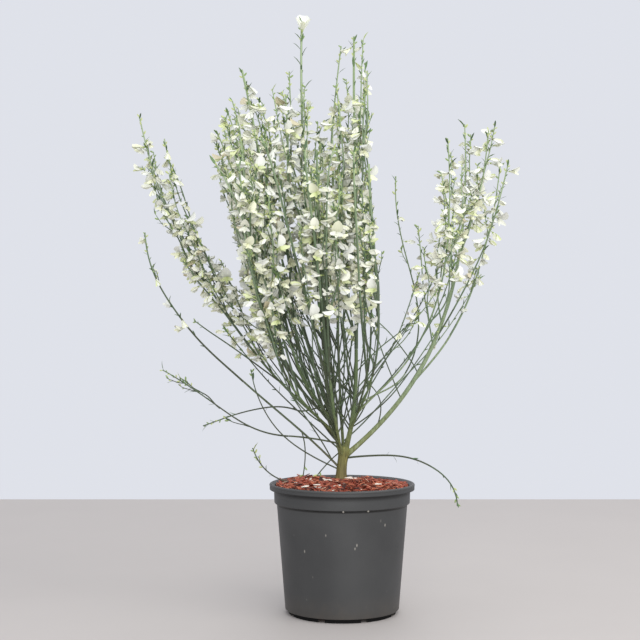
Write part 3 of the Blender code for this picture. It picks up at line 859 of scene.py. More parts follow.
SINGLES = [Single(*row) for row in (
    ("mass_leader", "bough_centre", 0.85, (-0.0197, -0.002, 0.5405),
     (-0.0013, -0.012, 0.740), 0.30, 0.0014),
    ("mass_leader", "bough_centre", 0.75, (-0.0486, 0.024, 0.554), (-0.0807, 0.030, 0.6875), 0.30, 0.0013),
    ("mass_centre_right", "mass_centre_right", 0.50, (0.0225, -0.032, 0.650),
     (0.0265, -0.034, 0.744), 0.20),
    ("mass_left_inner", "mass_left_inner", 0.45, (-0.105, -0.020, 0.622), (-0.1208, -0.024, 0.665), 0.30),
    ("mass_left_inner", "bough_left", 0.80, (-0.0774, -0.022, 0.514),
     (-0.105, -0.030, 0.627), 0.35, 0.0012),
    ("mass_left_upper", "bough_left_back", 0.90, (-0.1365, 0.060, 0.521),
     (-0.1706, 0.060, 0.622), 0.30, 0.0012),
    ("mass_left_front", "bough_left_front", 0.90, (-0.1208, -0.062, 0.521),
     (-0.1496, -0.062, 0.640), 0.25, 0.0012),
    ("mass_outer_left", "mass_outer_left", 0.30, (-0.2034, 0.016, 0.530),
     (-0.231, 0.010, 0.597), 0.25, 0.0012),
    ("mass_outer_left", "mass_outer_left", 0.02, (-0.1824, 0.010, 0.426), (-0.2087, 0.000, 0.460), 0.15),
    ("mass_outer_left", "bough_left_outer", 0.80, (-0.1550, 0.012, 0.420), (-0.1930, 0.006, 0.500), 0.10),
    ("mass_outer_left", "bough_left_outer", 0.70, (-0.1300, 0.020, 0.390), (-0.1600, 0.014, 0.462), 0.15),
    ("mass_outer_left", "bough_left_outer", 0.62, (-0.1575, -0.004, 0.357), (-0.193, -0.014, 0.382)),
    ("mass_left_lean", "trunk", 0.25, (-0.084, -0.012, 0.241), (-0.118, -0.020, 0.317)),
    ("mass_left_lean", "bough_left_low", 0.42, (-0.0486, -0.012, 0.2124),
     (-0.051, -0.014, 0.180), 1.0, 0.0009),
    ("mass_left_lean", "bough_centre", 0.08, (-0.0197, -0.006, 0.195),
     (-0.0328, -0.012, 0.180), 1.0, 0.0009),
    ("mass_right_inner", "bough_right", 0.24, (0.0499, 0.000, 0.2754),
     (0.0328, -0.010, 0.3016), 1.0, 0.0009),
    ("mass_right_inner", "bough_right", 0.45, (0.0604, -0.002, 0.320),
     (0.0433, -0.016, 0.370), 1.0, 0.0009),
    ("mass_right_inner", "bough_right", 0.62, (0.0760, 0.004, 0.350),
     (0.0368, -0.006, 0.3896), 1.0, 0.0009),
    ("mass_right_upper", "bough_centre_right", 0.22, (0.0656, -0.016, 0.2885), (0.123, -0.024, 0.370)),
    ("mass_right_upper", "bough_centre_right", 0.36, (0.0998, -0.030, 0.357),
     (0.146, -0.044, 0.4706), 0.75),
    ("mass_right_upper", "bough_centre_right", 0.36, (0.0660, -0.020, 0.352),
     (0.0998, -0.028, 0.445), 0.80),
    ("mass_right_inner", "bough_centre_right", 0.50, (0.0525, -0.008, 0.325), (0.090, 0.004, 0.378)),
    ("mass_right_outer", "mass_right_outer", 0.10, (0.1430, 0.002, 0.488), (0.129, -0.008, 0.576), 0.30),
    ("mass_right_outer", "bough_right", 0.93, (0.1247, 0.004, 0.451), (0.1365, -0.010, 0.526), 0.40),
    ("mass_right_outer", "mass_right_outer", 0.25, (0.181, 0.006, 0.554),
     (0.1916, -0.008, 0.631), 0.25, 0.0012),
    ("mass_right_outer", "mass_right_outer", 0.32, (0.187, 0.020, 0.572), (0.2043, 0.026, 0.6435), 0.25),
    ("mass_right_inner", "bough_right", 0.80, (0.1076, 0.006, 0.429), (0.0995, -0.004, 0.5064), 0.45),
    ("mass_left_inner", "bough_left", 0.35, (-0.1000, -0.016, 0.4640),
     (-0.1620, -0.040, 0.626), 0.40, 0.0012),
    ("mass_left_inner", "bough_centre", 0.45, (-0.0790, 0.004, 0.4500),
     (-0.1420, 0.010, 0.650), 0.40, 0.0012),
    ("mass_left_inner", "bough_left", 0.60, (-0.0880, -0.030, 0.5100),
     (-0.1135, -0.052, 0.624), 0.40, 0.0012),
    ("mass_left_front", "bough_left_low", 0.10, (-0.0570, -0.012, 0.2720),
     (-0.1200, -0.030, 0.356), 0.90, 0.0010),
    ("mass_left_front", "bough_centre", 0.16, (-0.0460, -0.010, 0.2800),
     (-0.0930, -0.034, 0.372), 0.90, 0.0010),
    ("mass_outer_left", "bough_centre", 0.10, (-0.0830, 0.006, 0.2880),
     (-0.1560, 0.014, 0.372), 0.95, 0.0011),
    ("mass_right_outer", "bough_right", 0.84, (0.1811, 0.008, 0.4657),
     (0.2185, 0.002, 0.590), 0.30, 0.0013),
    ("mass_front", "bough_front", 0.85, (-0.0385, -0.142, 0.501), (-0.0468, -0.157, 0.5865), 1.0, 0.0018),
    ("mass_front", "bough_front", 0.95, (-0.0216, -0.142, 0.498), (-0.0121, -0.157, 0.5865), 1.0, 0.0015),
    ("mass_left_front", "bough_front", 0.60, (-0.0713, -0.138, 0.510),
     (-0.0986, -0.150, 0.5995), 1.0, 0.0017),
    ("mass_left_front", "bough_left_front", 0.75, (-0.1122, -0.118, 0.4774),
     (-0.1556, -0.128, 0.572), 1.0, 0.0015),
    ("mass_front_right", "bough_front_right", 0.80, (0.0163, -0.126, 0.4684),
     (0.0121, -0.146, 0.588), 1.0, 0.0017),
)]


# Low shoots out of the trunk with given bends: their share of the trunk and their two handles.
LOW_SHOOTS = {
    "drooping_whip_right": (0.62, (0.060, -0.008, 0.2120), (0.145, -0.018, 0.2080)),
    "basal_shoot": (0.09, (-0.045, 0.006, 0.1630), (-0.100, 0.012, 0.1580)),
}


@dataclass(frozen=True)
class Sky:
    """Where sky shows between the sheaves from the front.

    Each outline holds (x, z) places in the upright plane through the trunk, as the eye at the
    camera's place sees them.
    """

    eye: Point = EYE
    outlines: tuple[tuple[Span, ...], ...] = (
        ((0.038, 0.790), (0.250, 0.790), (0.250, 0.668), (0.150, 0.662), (0.136, 0.640),
         (0.132, 0.585), (0.116, 0.577), (0.108, 0.520), (0.092, 0.520), (0.083, 0.586),
         (0.062, 0.586), (0.067, 0.541), (0.074, 0.488), (0.080, 0.435), (0.085, 0.383),
         (0.057, 0.370), (0.050, 0.422), (0.047, 0.475), (0.043, 0.541), (0.038, 0.606),
         (0.035, 0.659)),
        ((-0.045, 0.790), (-0.040, 0.724), (-0.041, 0.672), (-0.029, 0.656), (-0.014, 0.672),
         (-0.012, 0.711), (-0.009, 0.790)),
        ((-0.116, 0.790), (-0.059, 0.790), (-0.060, 0.706), (-0.070, 0.700), (-0.088, 0.694),
         (-0.088, 0.672), (-0.096, 0.652), (-0.102, 0.668), (-0.106, 0.700)),
        ((-0.320, 0.790), (-0.145, 0.790), (-0.149, 0.705), (-0.148, 0.676), (-0.143, 0.654),
         (-0.158, 0.648), (-0.177, 0.640), (-0.179, 0.606), (-0.171, 0.573), (-0.158, 0.547),
         (-0.144, 0.508), (-0.134, 0.468), (-0.126, 0.429), (-0.134, 0.422), (-0.150, 0.449),
         (-0.167, 0.481), (-0.186, 0.521), (-0.208, 0.566), (-0.214, 0.595), (-0.222, 0.607),
         (-0.239, 0.612), (-0.249, 0.640), (-0.254, 0.672), (-0.320, 0.680)),
        ((-0.245, 0.495), (-0.236, 0.462), (-0.228, 0.429), (-0.215, 0.412), (-0.202, 0.409),
         (-0.213, 0.442), (-0.223, 0.475), (-0.231, 0.508), (-0.242, 0.534), (-0.252, 0.554),
         (-0.257, 0.521)),
        ((-0.330, 0.600), (-0.283, 0.600), (-0.272, 0.550), (-0.268, 0.500), (-0.262, 0.455),
         (-0.252, 0.420), (-0.235, 0.388), (-0.212, 0.350), (-0.330, 0.350)),
        ((0.250, 0.530), (0.212, 0.491), (0.195, 0.459), (0.175, 0.415), (0.152, 0.363),
         (0.135, 0.320), (0.250, 0.320)),
    )

    def covers(self, points: Array) -> Array:
        """Whether points are seen against the sky.

        A point is carried along the ray from the eye to the trunk's plane. It is inside an outline
        when a level line from it to the right crosses the outline an odd number of times.

        Args:
            points: (points, 3) places.

        Returns:
            A truth value for each point.
        """
        eye = np.array(self.eye)
        seen = eye + (points - eye) * (-eye[1] / (points[:, 1:2] - eye[1]))
        x, z = seen[:, :1], seen[:, 2:]
        covered = np.zeros(len(points), bool)
        for outline in self.outlines:
            start = np.array(outline)
            end = np.roll(start, -1, axis=0)
            straddles = (start[:, 1] > z) != (end[:, 1] > z)
            rise = np.where(end[:, 1] == start[:, 1], 1.0, end[:, 1] - start[:, 1])
            meets = start[:, 0] + (z - start[:, 1]) / rise * (end[:, 0] - start[:, 0])
            covered |= (straddles & (x < meets)).sum(1) % 2 == 1
        return covered


@dataclass(frozen=True)
class Arc:
    """A cubic curve from a root to a tip, given by its four control points."""

    control: Array

    def at(self, share: Array | float) -> Array:
        """The point at this share of the way, by the cubic Bernstein sum."""
        t = np.asarray(share, dtype=float)[..., None]
        a, b, c, d = self.control
        return (1 - t) ** 3 * a + 3 * (1 - t) ** 2 * t * b + 3 * (1 - t) * t**2 * c + t**3 * d

    def way(self, share: Array | float) -> Array:
        """The unit direction towards the tip at this share."""
        t = np.asarray(share, dtype=float)[..., None]
        a, b, c, d = self.control
        return unit((1 - t) ** 2 * (b - a) + 2 * (1 - t) * t * (c - b) + t**2 * (d - c))

    def points(self, count: int) -> Array:
        """Evenly dealt points from root to tip."""
        return self.at(np.linspace(0.0, 1.0, count))


def leaning(root: Sequence[float], tip: Sequence[float], lean: float) -> Array:
    """The unit direction that leans from upright towards the tip by this many degrees."""
    flat = np.array([tip[0] - root[0], tip[1] - root[1], 0.0])
    return turned(UP, flat / max(np.linalg.norm(flat), 1e-9), math.radians(lean))


def sideways(way: Array, turn: Array | float) -> Array:
    """Unit vectors square to directions, turned about them by an angle."""
    across = unit(np.cross(way, [0.0, 1.0, 0.0]))
    return turned(across, np.cross(way, across), turn)


def distance_to_line(points: Array, line: Array) -> Array:
    """Each point's distance to the nearest stretch of a line.

    The nearest place on a stretch is its start plus its step, times the product of the point's
    offset and the step over the step's square, held between 0 and 1.

    Args:
        points: (points, 3) places.
        line: (places, 3) places along the line.

    Returns:
        A distance for each point.
    """
    start, step = line[:-1], np.diff(line, axis=0)
    along = np.einsum("psk,sk->ps", points[:, None] - start[None], step) / (step**2).sum(1)
    along = np.clip(along, 0.0, 1.0)[..., None]
    return np.linalg.norm(points[:, None] - start[None] - along * step[None], axis=2).min(1)


class Kind(Enum):
    """What a shoot is, and how many points its line has."""

    LEADER = ("leader", 30)
    WHIP = ("whip", 22)
    FINE = ("fine whip", 18)
    FOOT = ("foot whip", 24)
    SINGLE = ("single whip", 22)
    TWIG = ("side twig", 7)

    @property
    def rings(self) -> int:
        """How many points its line has."""
        return self.value[1]


@dataclass(frozen=True)
class Shoot:
    """One green shoot: its mass, its line and radii, and the share where its blossom starts."""

    mass: Mass
    kind: Kind
    line: Array
    radii: Array
    bloom: float

    def read(self, rows: Array, shares: Array) -> Array:
        """Numbers that each point of the line has, read at these shares of the way."""
        own = np.linspace(0.0, 1.0, len(self.line))
        return np.stack([np.interp(shares, own, column) for column in rows.T], axis=1)

    def at(self, shares: Array) -> Array:
        """The points at these shares along the line."""
        return self.read(self.line, shares)

    def way(self, shares: Array) -> Array:
        """The unit directions at these shares."""
        return unit(self.read(np.gradient(self.line, axis=0), shares))

    def radius(self, shares: Array) -> Array:
        """The radii at these shares, in a column."""
        return self.read(self.radii[:, None], shares)

    def length(self) -> float:
        """The line's length."""
        return float(np.linalg.norm(np.diff(self.line, axis=0), axis=1).sum())


@dataclass
class Growth:
    """The shrub's skeleton: limbs and whips by the solids' rule, carried on to finer shoots.

    Radii, lengths and margins are in metres and leans in degrees. Where a shoot leaves or joins
    another is a share of that one's length, and how wide it stands a share of its mass's spread.
    Leaders and single whips are stiff: of the slow wave that others have, they keep a part.
    """

    trunk_foot: Point = (-0.0010, 0.0, 0.1743)
    trunk_fork: Point = (0.0045, 0.0, 0.2180)
    trunk_lean: float = 12.0
    trunk_radius: float = 0.0064
    trunk_flare: float = 0.0016
    trunk_swell: float = 0.0012
    swell_share: float = 0.86
    handle: float = 0.36
    side_push: float = 0.10
    waves: Span = (1.5, 3.5)
    wave_share: float = 0.018
    wave_most: float = 0.0030
    stiff: float = 0.3
    taper: float = 1.2
    whip_leave: float = math.radians(26.0)
    whip_stretch: Span = (0.02, 0.62)
    whip_reach: Span = (0.56, 0.92)
    whip_wide: Span = (0.60, 1.0)
    whip_radii: Span = (0.00132, 0.00078)
    whip_most: Span = (0.8, 0.5)
    fine_from: Span = (0.02, 0.66)
    fine_reach: Span = (0.34, 0.82)
    fine_wide: Span = (0.30, 0.95)
    fine_radii: Span = (0.00092, 0.00054)
    leader_slim: float = 0.74
    leader_tip: float = 0.00133
    leader_root: float = 1.04
    foot_from: Span = (0.06, 0.70)
    foot_joins: Span = (0.35, 0.80)
    foot_leans: Span = (12.0, 30.0)
    foot_wide: Span = (0.3, 0.9)
    foot_bloom: float = 0.55
    fan_boughs: tuple[str, ...] = ("bough_centre", "bough_centre_right", "bough_left",
                                   "bough_left_outer", "bough_front", "bough_back")
    fan_from: Span = (0.08, 0.55)
    fan_joins: Span = (0.25, 0.92)
    fan_wide: Span = (0.1, 0.9)
    fan_rise: Span = (-0.25, 0.45)
    fan_bloom: float = 0.45
    twig_from: Span = (0.25, 0.88)
    twig_leans: Span = (20.0, 38.0)
    twig_lengths: Span = (0.010, 0.028)
    twig_radii: Span = (0.0007, 0.00045)
    twig_bloom: float = 0.35
    single_slim: float = 0.86
    single_fall: float = 0.6
    single_tip: float = 0.00066
    solid_margin: float = 0.0025
    fine_margin: float = 0.0008
    twig_margin: float = 0.0006
    joined_rise: float = 0.03
    rim_radius: float = 0.104
    rim_height: float = 0.1815
    sky: Sky = Sky()
    sky_share: float = 0.06
    sky_from: float = 0.36
    carried_seed: int = 500
    singles_seed: int = 990
    arcs: dict[str, Arc] = field(default_factory=dict)
    leaders: dict[str, Arc] = field(default_factory=dict)
    shoots: list[Shoot] = field(default_factory=list)
    random: Random = field(init=False)

    def __post_init__(self) -> None:
        """Grow the limbs, the leaders and every shoot."""
        lean = leaning(self.trunk_foot, self.trunk_fork, self.trunk_lean)
        self.arcs["trunk"] = self.arc(self.trunk_foot, UP, self.trunk_fork, lean)
        for limb in BOUGHS:
            root = self.arcs[limb.parent].at(limb.share) + np.array([*limb.shift, 0.0])
            first, last = (leaning(root, limb.tip, lean) for lean in limb.leans)
            self.arcs[limb.name] = self.arc(root, first, limb.tip, last)
        for mass in MASSES:
            self.leaders[mass.name] = self.leader(mass)
        for name, (share, first, second) in LOW_SHOOTS.items():
            root, tip = self.arcs["trunk"].at(share), self.leaders[name].control[3]
            self.leaders[name] = Arc(np.array([root, first, second, tip]))
        self.lines = {name: arc.points(28) for name, arc in self.leaders.items()}
        for mass in MASSES:
            self.grow(mass)
        self.grow_singles()

    def arc(self, root: Sequence[float], first: Array, tip: Sequence[float], last: Array) -> Arc:
        """The curve that leaves the root and reaches the tip in the given directions."""
        root, tip = np.array(root, dtype=float), np.array(tip, dtype=float)
        handle = self.handle * np.linalg.norm(tip - root)
        return Arc(np.array([root, root + first * handle, tip - last * handle, tip]))

    def leader(self, mass: Mass) -> Arc:
        """A mass's own stem, carried on from its bough's tip or out of the trunk's side."""
        limb = self.arcs[mass.limb]
        if mass.limb == "trunk":
            root = limb.at(mass.share)
            first = leaning(root, mass.tip, mass.leave)
        else:
            first = limb.way(1.0)
            root = limb.at(1.0) + first * GAP
        return self.arc(root, first, mass.tip, leaning(root, mass.tip, mass.lean))

    def trunk_radii(self, shares: Array) -> Array:
        """The trunk's radius at shares of its length.

        It is the radius at the foot, 6% less at the fork, plus a flare that dies away and a bell
        round the fork's share, all times a quarter of an ellipse past that share.

        Args:
            shares: from 0 at the foot to 1 at the top.

        Returns:
            A radius for each share.
        """
        past = shares - self.swell_share
        flare = self.trunk_flare * np.exp(-shares / 0.14)
        swell = self.trunk_swell * np.exp(-((past / 0.20) ** 2))
        crown = np.sqrt(np.clip(1.0 - (np.clip(past, 0.0, None) / 0.155) ** 2, 0.0, 1.0))
        return np.maximum((self.trunk_radius * (1.0 - 0.06 * shares) + flare + swell) * crown, 0.0004)

    def keeps(self, mass: Mass, points: Array, margin: float) -> Array:
        """Whether points stay in a mass's own room.

        A point is in it when it is nearer to the mass's leader than to any other's, and above the
        pot's rim or outside it.

        Args:
            mass: the mass.
            points: (points, 3) places.
            margin: how far inside the room they have to be.

        Returns:
            A truth value for each point.
        """
        own = distance_to_line(points, self.lines[mass.name])
        kept = np.ones(len(points), bool)
        for name, line in self.lines.items():
            if name != mass.name:
                kept &= (distance_to_line(points, line) - own) / 2 > margin
        above = points[:, 2] > self.rim_height
        beside = np.hypot(points[:, 0], points[:, 1]) > self.rim_radius
        return kept & (above | beside)

    def shows(self, arc: Arc) -> bool:
        """Whether a curve leaves the sky between the sheaves open."""
        points = arc.points(24)
        covered = self.sky.covers(points) & (points[:, 2] > self.sky_from)
        return float(covered.mean()) < self.sky_share

    def fits(self, mass: Mass, arc: Arc, points: Array, margin: float) -> bool:
        """Whether these points stay in the mass's room and the curve leaves the sky open."""
        return bool(self.keeps(mass, points, margin).all()) and self.shows(arc)

    def add_shoot(self, mass: Mass, kind: Kind, arc: Arc, radii: Span, bloom: float) -> None:
        """Add a shoot along a curve.

        The line is the curve with a slow wave of random phase square to it, nothing at both ends.
        The radius falls from root to tip, a little faster at first.

        Args:
            mass: the mass that it belongs to.
            kind: what it is.
            arc: its curve.
            radii: at its root and its tip.
            bloom: the share where its blossom starts.
        """
        shares = np.linspace(0.0, 1.0, kind.rings)
        line = arc.at(shares)
        length = np.linalg.norm(line[-1] - line[0])
        axes = square_axes(line[None])
        waves = self.random.uniform(*self.waves, 2)
        phases = self.random.uniform(0.0, 2 * math.pi, 2)
        still = self.stiff if kind in (Kind.LEADER, Kind.SINGLE) else 1.0
        height = min(self.wave_share * length, self.wave_most)
        swing = np.sin(math.pi * shares)[:, None] * height * still
        for (axis,), wave, phase in zip(axes, waves, phases):
            line = line + axis * np.sin(wave * math.pi * shares + phase)[:, None] * swing
        widths = radii[1] + (radii[0] - radii[1]) * (1.0 - shares) ** self.taper
        self.shoots.append(Shoot(mass, kind, line, widths, bloom))

    def whip(self, leader: Arc, share: float, turn: float, reach: float, wide: float) -> Arc:
        """A whip that leaves a leader and ends beside it.

        Args:
            leader: the leader.
            share: where it leaves.
            turn: the side that it leaves to, as an angle about the leader.
            reach: the share of the rest of the leader that it runs beside.
            wide: how far beside it ends.

        Returns:
            Its curve.
        """
        root, way = leader.at(share), leader.way(share)
        side = sideways(way, turn)
        tip = root + (leader.at(1.0) - root) * reach + side * wide
        first = turned(way, side, self.whip_leave)
        return self.arc(root, first, tip, unit(leader.way(1.0) + side * self.side_push))

    def solid_whips(self, mass: Mass) -> list[Arc]:
        """The whips of the solids, from the same draws, that stay in the mass's room.

        Args:
            mass: the mass.

        Returns:
            Their curves, root to tip.
        """
        random = np.random.default_rng(mass.seed)
        leader = self.leaders[mass.name]
        low, high = self.whip_stretch
        whips = []
        for number in range(mass.whips):
            share = low + (high - low) * (number + random.random()) / mass.whips
            turn = number * GOLDEN_TURN + random.uniform(-0.4, 0.4)
            reach = random.uniform(*self.whip_reach)
            wide = mass.spread * random.uniform(*self.whip_wide) * (1.0 - 0.5 * share)
            whip = self.whip(leader, share, turn, reach, wide)
            if self.fits(mass, whip, whip.points(28)[2:], self.solid_margin):
                whips.append(whip)
        return whips

    def grow(self, mass: Mass) -> None:
        """Grow a mass: its leader, the solids' whips, finer whips, foot whips and side twigs.

        Args:
            mass: the mass.
        """
        self.random = random = np.random.default_rng(self.carried_seed + mass.seed)
        leader, habit = self.leaders[mass.name], mass.habit
        thick = min(mass.radius * self.leader_slim, self.leader_tip) * habit.slim**2
        roots = {limb.name: limb.radii[1] * limb.slim * self.leader_root for limb in BOUGHS}
        radii = (roots.get(mass.limb, mass.radius), thick)
        self.add_shoot(mass, Kind.LEADER, leader, radii, mass.bloom)
        whips = [whip for whip in self.solid_whips(mass) if random.random() < habit.kept]
        root, tip = (min(radius, mass.radius * most) * habit.slim
                     for radius, most in zip(self.whip_radii, self.whip_most))
        for whip in whips:
            self.add_shoot(mass, Kind.WHIP, whip, (root, tip), mass.bloom)
        root, tip = self.fine_radii
        for number in range(round(mass.whips * habit.fine)):
            share = random.uniform(*self.fine_from)
            wide = mass.spread * random.uniform(*self.fine_wide) * (1.0 - 0.5 * share)
            turn = number * GOLDEN_TURN + random.uniform(-0.6, 0.6)
            whip = self.whip(leader, share, turn, random.uniform(*self.fine_reach), wide)
            if self.fits(mass, whip, whip.points(16)[2:], self.fine_margin):
                whips.append(whip)
                radii = (root * habit.slim, tip)
                self.add_shoot(mass, Kind.FINE, whip, radii, mass.bloom * 0.8)
        self.grow_foot(mass)
        self.grow_fan(mass)
        for whip in [leader, *whips]:
            self.grow_twigs(mass, whip)

    def grow_foot(self, mass: Mass) -> None:
        """Thin whips that leave the mass's bough low down and join the sheaf above.

        Args:
            mass: the mass that they join.
        """
        random, bough, leader = self.random, self.arcs[mass.limb], self.leaders[mass.name]
        for number in range(mass.habit.foot):
            share = random.uniform(*self.foot_from)
            root, way = bough.at(share), bough.way(share)
            side = sideways(way, number * GOLDEN_TURN + random.uniform(0.0, 2.0))
            first = turned(way, side, math.radians(random.uniform(*self.foot_leans)))
            wide = mass.spread * random.uniform(*self.foot_wide)
            end = leader.at(random.uniform(*self.foot_joins)) + side * wide
            arc = self.arc(root, first, end, unit(leader.way(1.0) + side * self.side_push))
            points = arc.points(24)
            upper = points[points[:, 2] > leader.at(0.0)[2] + self.joined_rise]
            if self.fits(mass, arc, upper, self.fine_margin):
                self.add_shoot(mass, Kind.FOOT, arc, self.fine_radii, self.foot_bloom)

    def grow_fan(self, mass: Mass) -> None:
        """Thin whips that leave the boughs round the fork and cross over into the sheaf.

        Args:
            mass: the mass that they join.
        """
        random, leader = self.random, self.leaders[mass.name]
        for _ in range(mass.habit.fan):
            bough = self.arcs[self.fan_boughs[random.integers(len(self.fan_boughs))]]
            root = bough.at(random.uniform(*self.fan_from))
            join = random.uniform(*self.fan_joins)
            side = sideways(leader.way(join), random.uniform(0.0, 2 * math.pi))
            end = leader.at(join) + side * mass.spread * random.uniform(*self.fan_wide)
            towards = unit(end - root)
            first = unit(towards + UP * random.uniform(*self.fan_rise))
            arc = self.arc(root, first, end, unit(leader.way(join) * 0.7 + towards))
            if self.fits(mass, arc, arc.points(24)[20:], self.fine_margin):
                self.add_shoot(mass, Kind.FOOT, arc, self.fine_radii, self.fan_bloom)

    def grow_twigs(self, mass: Mass, whip: Arc) -> None:
        """Short side twigs along a whip.

        Args:
            mass: the whip's mass.
            whip: the whip.
        """
        random = self.random
        for number in range(random.integers(0, 3)):
            share = random.uniform(*self.twig_from)
            root, way = whip.at(share), whip.way(share)
            side = sideways(way, number * GOLDEN_TURN + random.uniform(0.0, 6.0))
            first = turned(way, side, math.radians(random.uniform(*self.twig_leans)))
            length = random.uniform(*self.twig_lengths)
            end = root + (first + way * 0.6) * length * (1.15 - 0.6 * share)
            arc = self.arc(root, first, end, unit(way + side * 0.15 + UP * 0.2))
            if self.keeps(mass, arc.points(6)[1:], self.twig_margin).all():
                self.add_shoot(mass, Kind.TWIG, arc, self.twig_radii, self.twig_bloom)

    def grow_singles(self) -> None:
        """The whips that show singly, each a quadratic curve through its middle point.

        The cubic's two handles are a third of the way from the curve's one handle to its ends,
        and that handle is twice the middle point less the mean of the ends.
        """
        self.random = np.random.default_rng(self.singles_seed)
        masses = {mass.name: mass for mass in MASSES}
        for single in SINGLES:
            limb = self.arcs.get(single.limb) or self.leaders[single.limb]
            root, tip = limb.at(single.share), np.array(single.tip)
            handle = 2.0 * np.array(single.through) - (root + tip) / 2.0
            arc = Arc(np.array([root, (root + 2 * handle) / 3, (tip + 2 * handle) / 3, tip]))
            radii = (single.radius * self.single_slim,
                     max(self.single_tip, single.radius * self.single_fall))
            self.add_shoot(masses[single.mass], Kind.SINGLE, arc, radii, single.bloom)


# Sub-assemblies


@dataclass
class NurseryPot:
    """The thin moulded pot with its rolled lip, stepped band, taper and recessed foot.

    Waves out of round are given by their number, their height at the rim and their phase.
    """

    rim_radius: float = 0.095
    height: float = 0.1695
    wall: float = 0.0014
    floor: float = 0.0018
    floor_curve: float = 0.0040
    lip_height: float = 0.0080
    lip_round: float = 0.0022
    lip_undercut: float = 0.0018
    lip_draft: float = 0.0004
    band_radius: float = 0.0885
    step_height: float = 0.1440
    step_depth: float = 0.0032
    foot_radius: float = 0.0745
    foot_height: float = 0.0055
    foot_recess: float = 0.0035
    corner_round: float = 0.0009
    ring_pitch: float = 0.012
    sides: int = 160
    waves: tuple[tuple[int, float, float], ...] = ((2, 0.00035, 0.7), (5, 0.00018, 2.1))
    drains: int = 8
    drain_size: Point = (0.012, 0.009, 0.0076)
    nub_turns: tuple[float, ...] = (-90.0, -69.0, 24.0, 45.0, 141.0, 162.0)
    # Painted shade: the foot's near-black, low-gloss tint stands for the shadow in its recess on the
    # floor.
    foot_shade_finish: Tint = Tint("pot_foot_shade", (0.007, 0.007, 0.007), 0.8, 0.4, 300.0, gleam=0.12)
    nub_finish: Tint = Tint("nub_worn", (0.26, 0.24, 0.21), 0.6, 0.2)

    def profile(self) -> Array:
        """The shell's section from the middle of its inner floor, up, over the lip and down.

        Returns:
            (points, 2) radius and height, close enough together to round the shell's waves.
        """
        foot = self.foot_radius - self.foot_recess
        lip = self.rim_radius - self.lip_round
        step_radius = self.band_radius - self.step_depth
        shoulder = self.step_height - self.step_depth / 2
        under_lip = self.height - self.lip_height
        turns = np.radians(np.linspace(140.0, -35.0, 9))
        rolled = np.stack([lip + self.lip_round * np.cos(turns),
                           self.height - self.lip_round * (1 - np.sin(turns))], axis=1)
        inner = [
            (0.0, self.floor), (foot - self.wall - self.floor_curve, self.floor),
            (foot - self.wall, self.floor + self.floor_curve),
            (self.foot_radius - self.wall, self.foot_height + self.wall),
            (step_radius - self.wall, shoulder), (self.band_radius - self.wall, self.step_height),
            (self.band_radius - self.wall + self.lip_draft, self.height - 0.0025),
        ]
        outer = [
            (self.rim_radius - self.lip_draft, under_lip),
            (self.rim_radius - self.lip_undercut, under_lip),
            (self.band_radius + 0.0006, under_lip + self.lip_undercut),
            (self.band_radius, self.step_height + 0.0002), (step_radius, shoulder),
            (self.foot_radius, self.foot_height), (foot, self.foot_height - 0.0006),
            (foot - 0.0008, 0.0), (0.0, 0.0),
        ]
        corners = softened([*inner, *map(tuple, rolled), *outer], self.corner_round)
        lengths = np.linalg.norm(np.diff(corners, axis=0), axis=1)
        dealt = [
            np.linspace(start, end, max(2, math.ceil(length / self.ring_pitch) + 1))[:-1]
            for start, end, length in zip(corners[:-1], corners[1:], lengths)
        ]
        return np.concatenate([*dealt, corners[-1:]])

    def build(self) -> None:
        """Turn the shell a hair out of round, cut its drain slots and add the moulding nubs."""
        profile = self.profile()
        high = np.clip(profile[1:-1, 1:] / self.height, 0.0, 1.0)
        turns = even_turns(self.sides)
        swell = sum(wide * high * np.cos(count * turns + phase) for count, wide, phase in self.waves)
        points, faces = revolved(profile, self.sides, swell)
        # Faces low on the outer foot take the painted shade tint.
        outer = np.hypot(points[:, 0], points[:, 1]) > self.foot_radius - self.foot_recess - 0.002
        foot = outer & (points[:, 2] < self.foot_height - 0.0002)
        shell = Joined()
        shell.add(points, [(part, foot[part].all(1)) for part, _ in faces])
        finishes = [PotPlastic().material(), self.foot_shade_finish.material()]
        pot = shell.piece("pot_shell", finishes, Slot.POT, ["pot"], 34.0)
        self.cut_drains(pot)
        self.add_nubs()

    def cut_drains(self, pot: bpy.types.Object) -> None:
        """Cut the slots round the foot's edge through wall and floor.

        Args:
            pot: the shell.
        """
        body = bmesh.new()
        ring = self.foot_radius - self.foot_recess
        for number in range(self.drains):
            turn = Matrix.Rotation(2 * math.pi * (number + 0.5) / self.drains, 4, "Z")
            out = Matrix.Translation((ring, 0.0, 0.0))
            size = Matrix.Diagonal((*self.drain_size, 1.0))
            bmesh.ops.create_cube(body, size=1.0, matrix=turn @ out @ size)
        mesh = bpy.data.meshes.new("drain_slots")
        body.to_mesh(mesh)
        body.free()
        slots = placed("drain_slots", mesh)
        cut = pot.modifiers.new("drains", "BOOLEAN")
        cut.operation = "DIFFERENCE"
        cut.object = slots
        graph = bpy.context.evaluated_depsgraph_get()
        made = bpy.data.meshes.new_from_object(pot.evaluated_get(graph))
        pot.modifiers.clear()
        pot.data = made
        bpy.data.objects.remove(slots, do_unlink=True)

    def add_nubs(self) -> None:
        """Small moulding nubs on the step's edge, each a low round button."""
        nub = Pattern.of(Pattern.stem([(-0.0011, 0, 0), (-0.0006, 0, 0), (0.0003, 0, 0),
                                       (0.0009, 0, 0)], (0.0012, 0.0014, 0.0012, 0.0004), 10))
        out = outward(np.radians(self.nub_turns))
        up = np.broadcast_to(UP, out.shape)
        axes = np.stack([out, np.cross(up, out), up], axis=1)
        roots = out * (self.band_radius - 0.0007) + UP * (self.step_height - 0.0006)
        nubs = Joined()
        nubs.add(*nub.dealt(roots, axes, np.ones(len(out)), np.zeros(len(out), int)))
        nubs.piece("pot_moulding_nubs", [self.nub_finish.material()], Slot.POT)


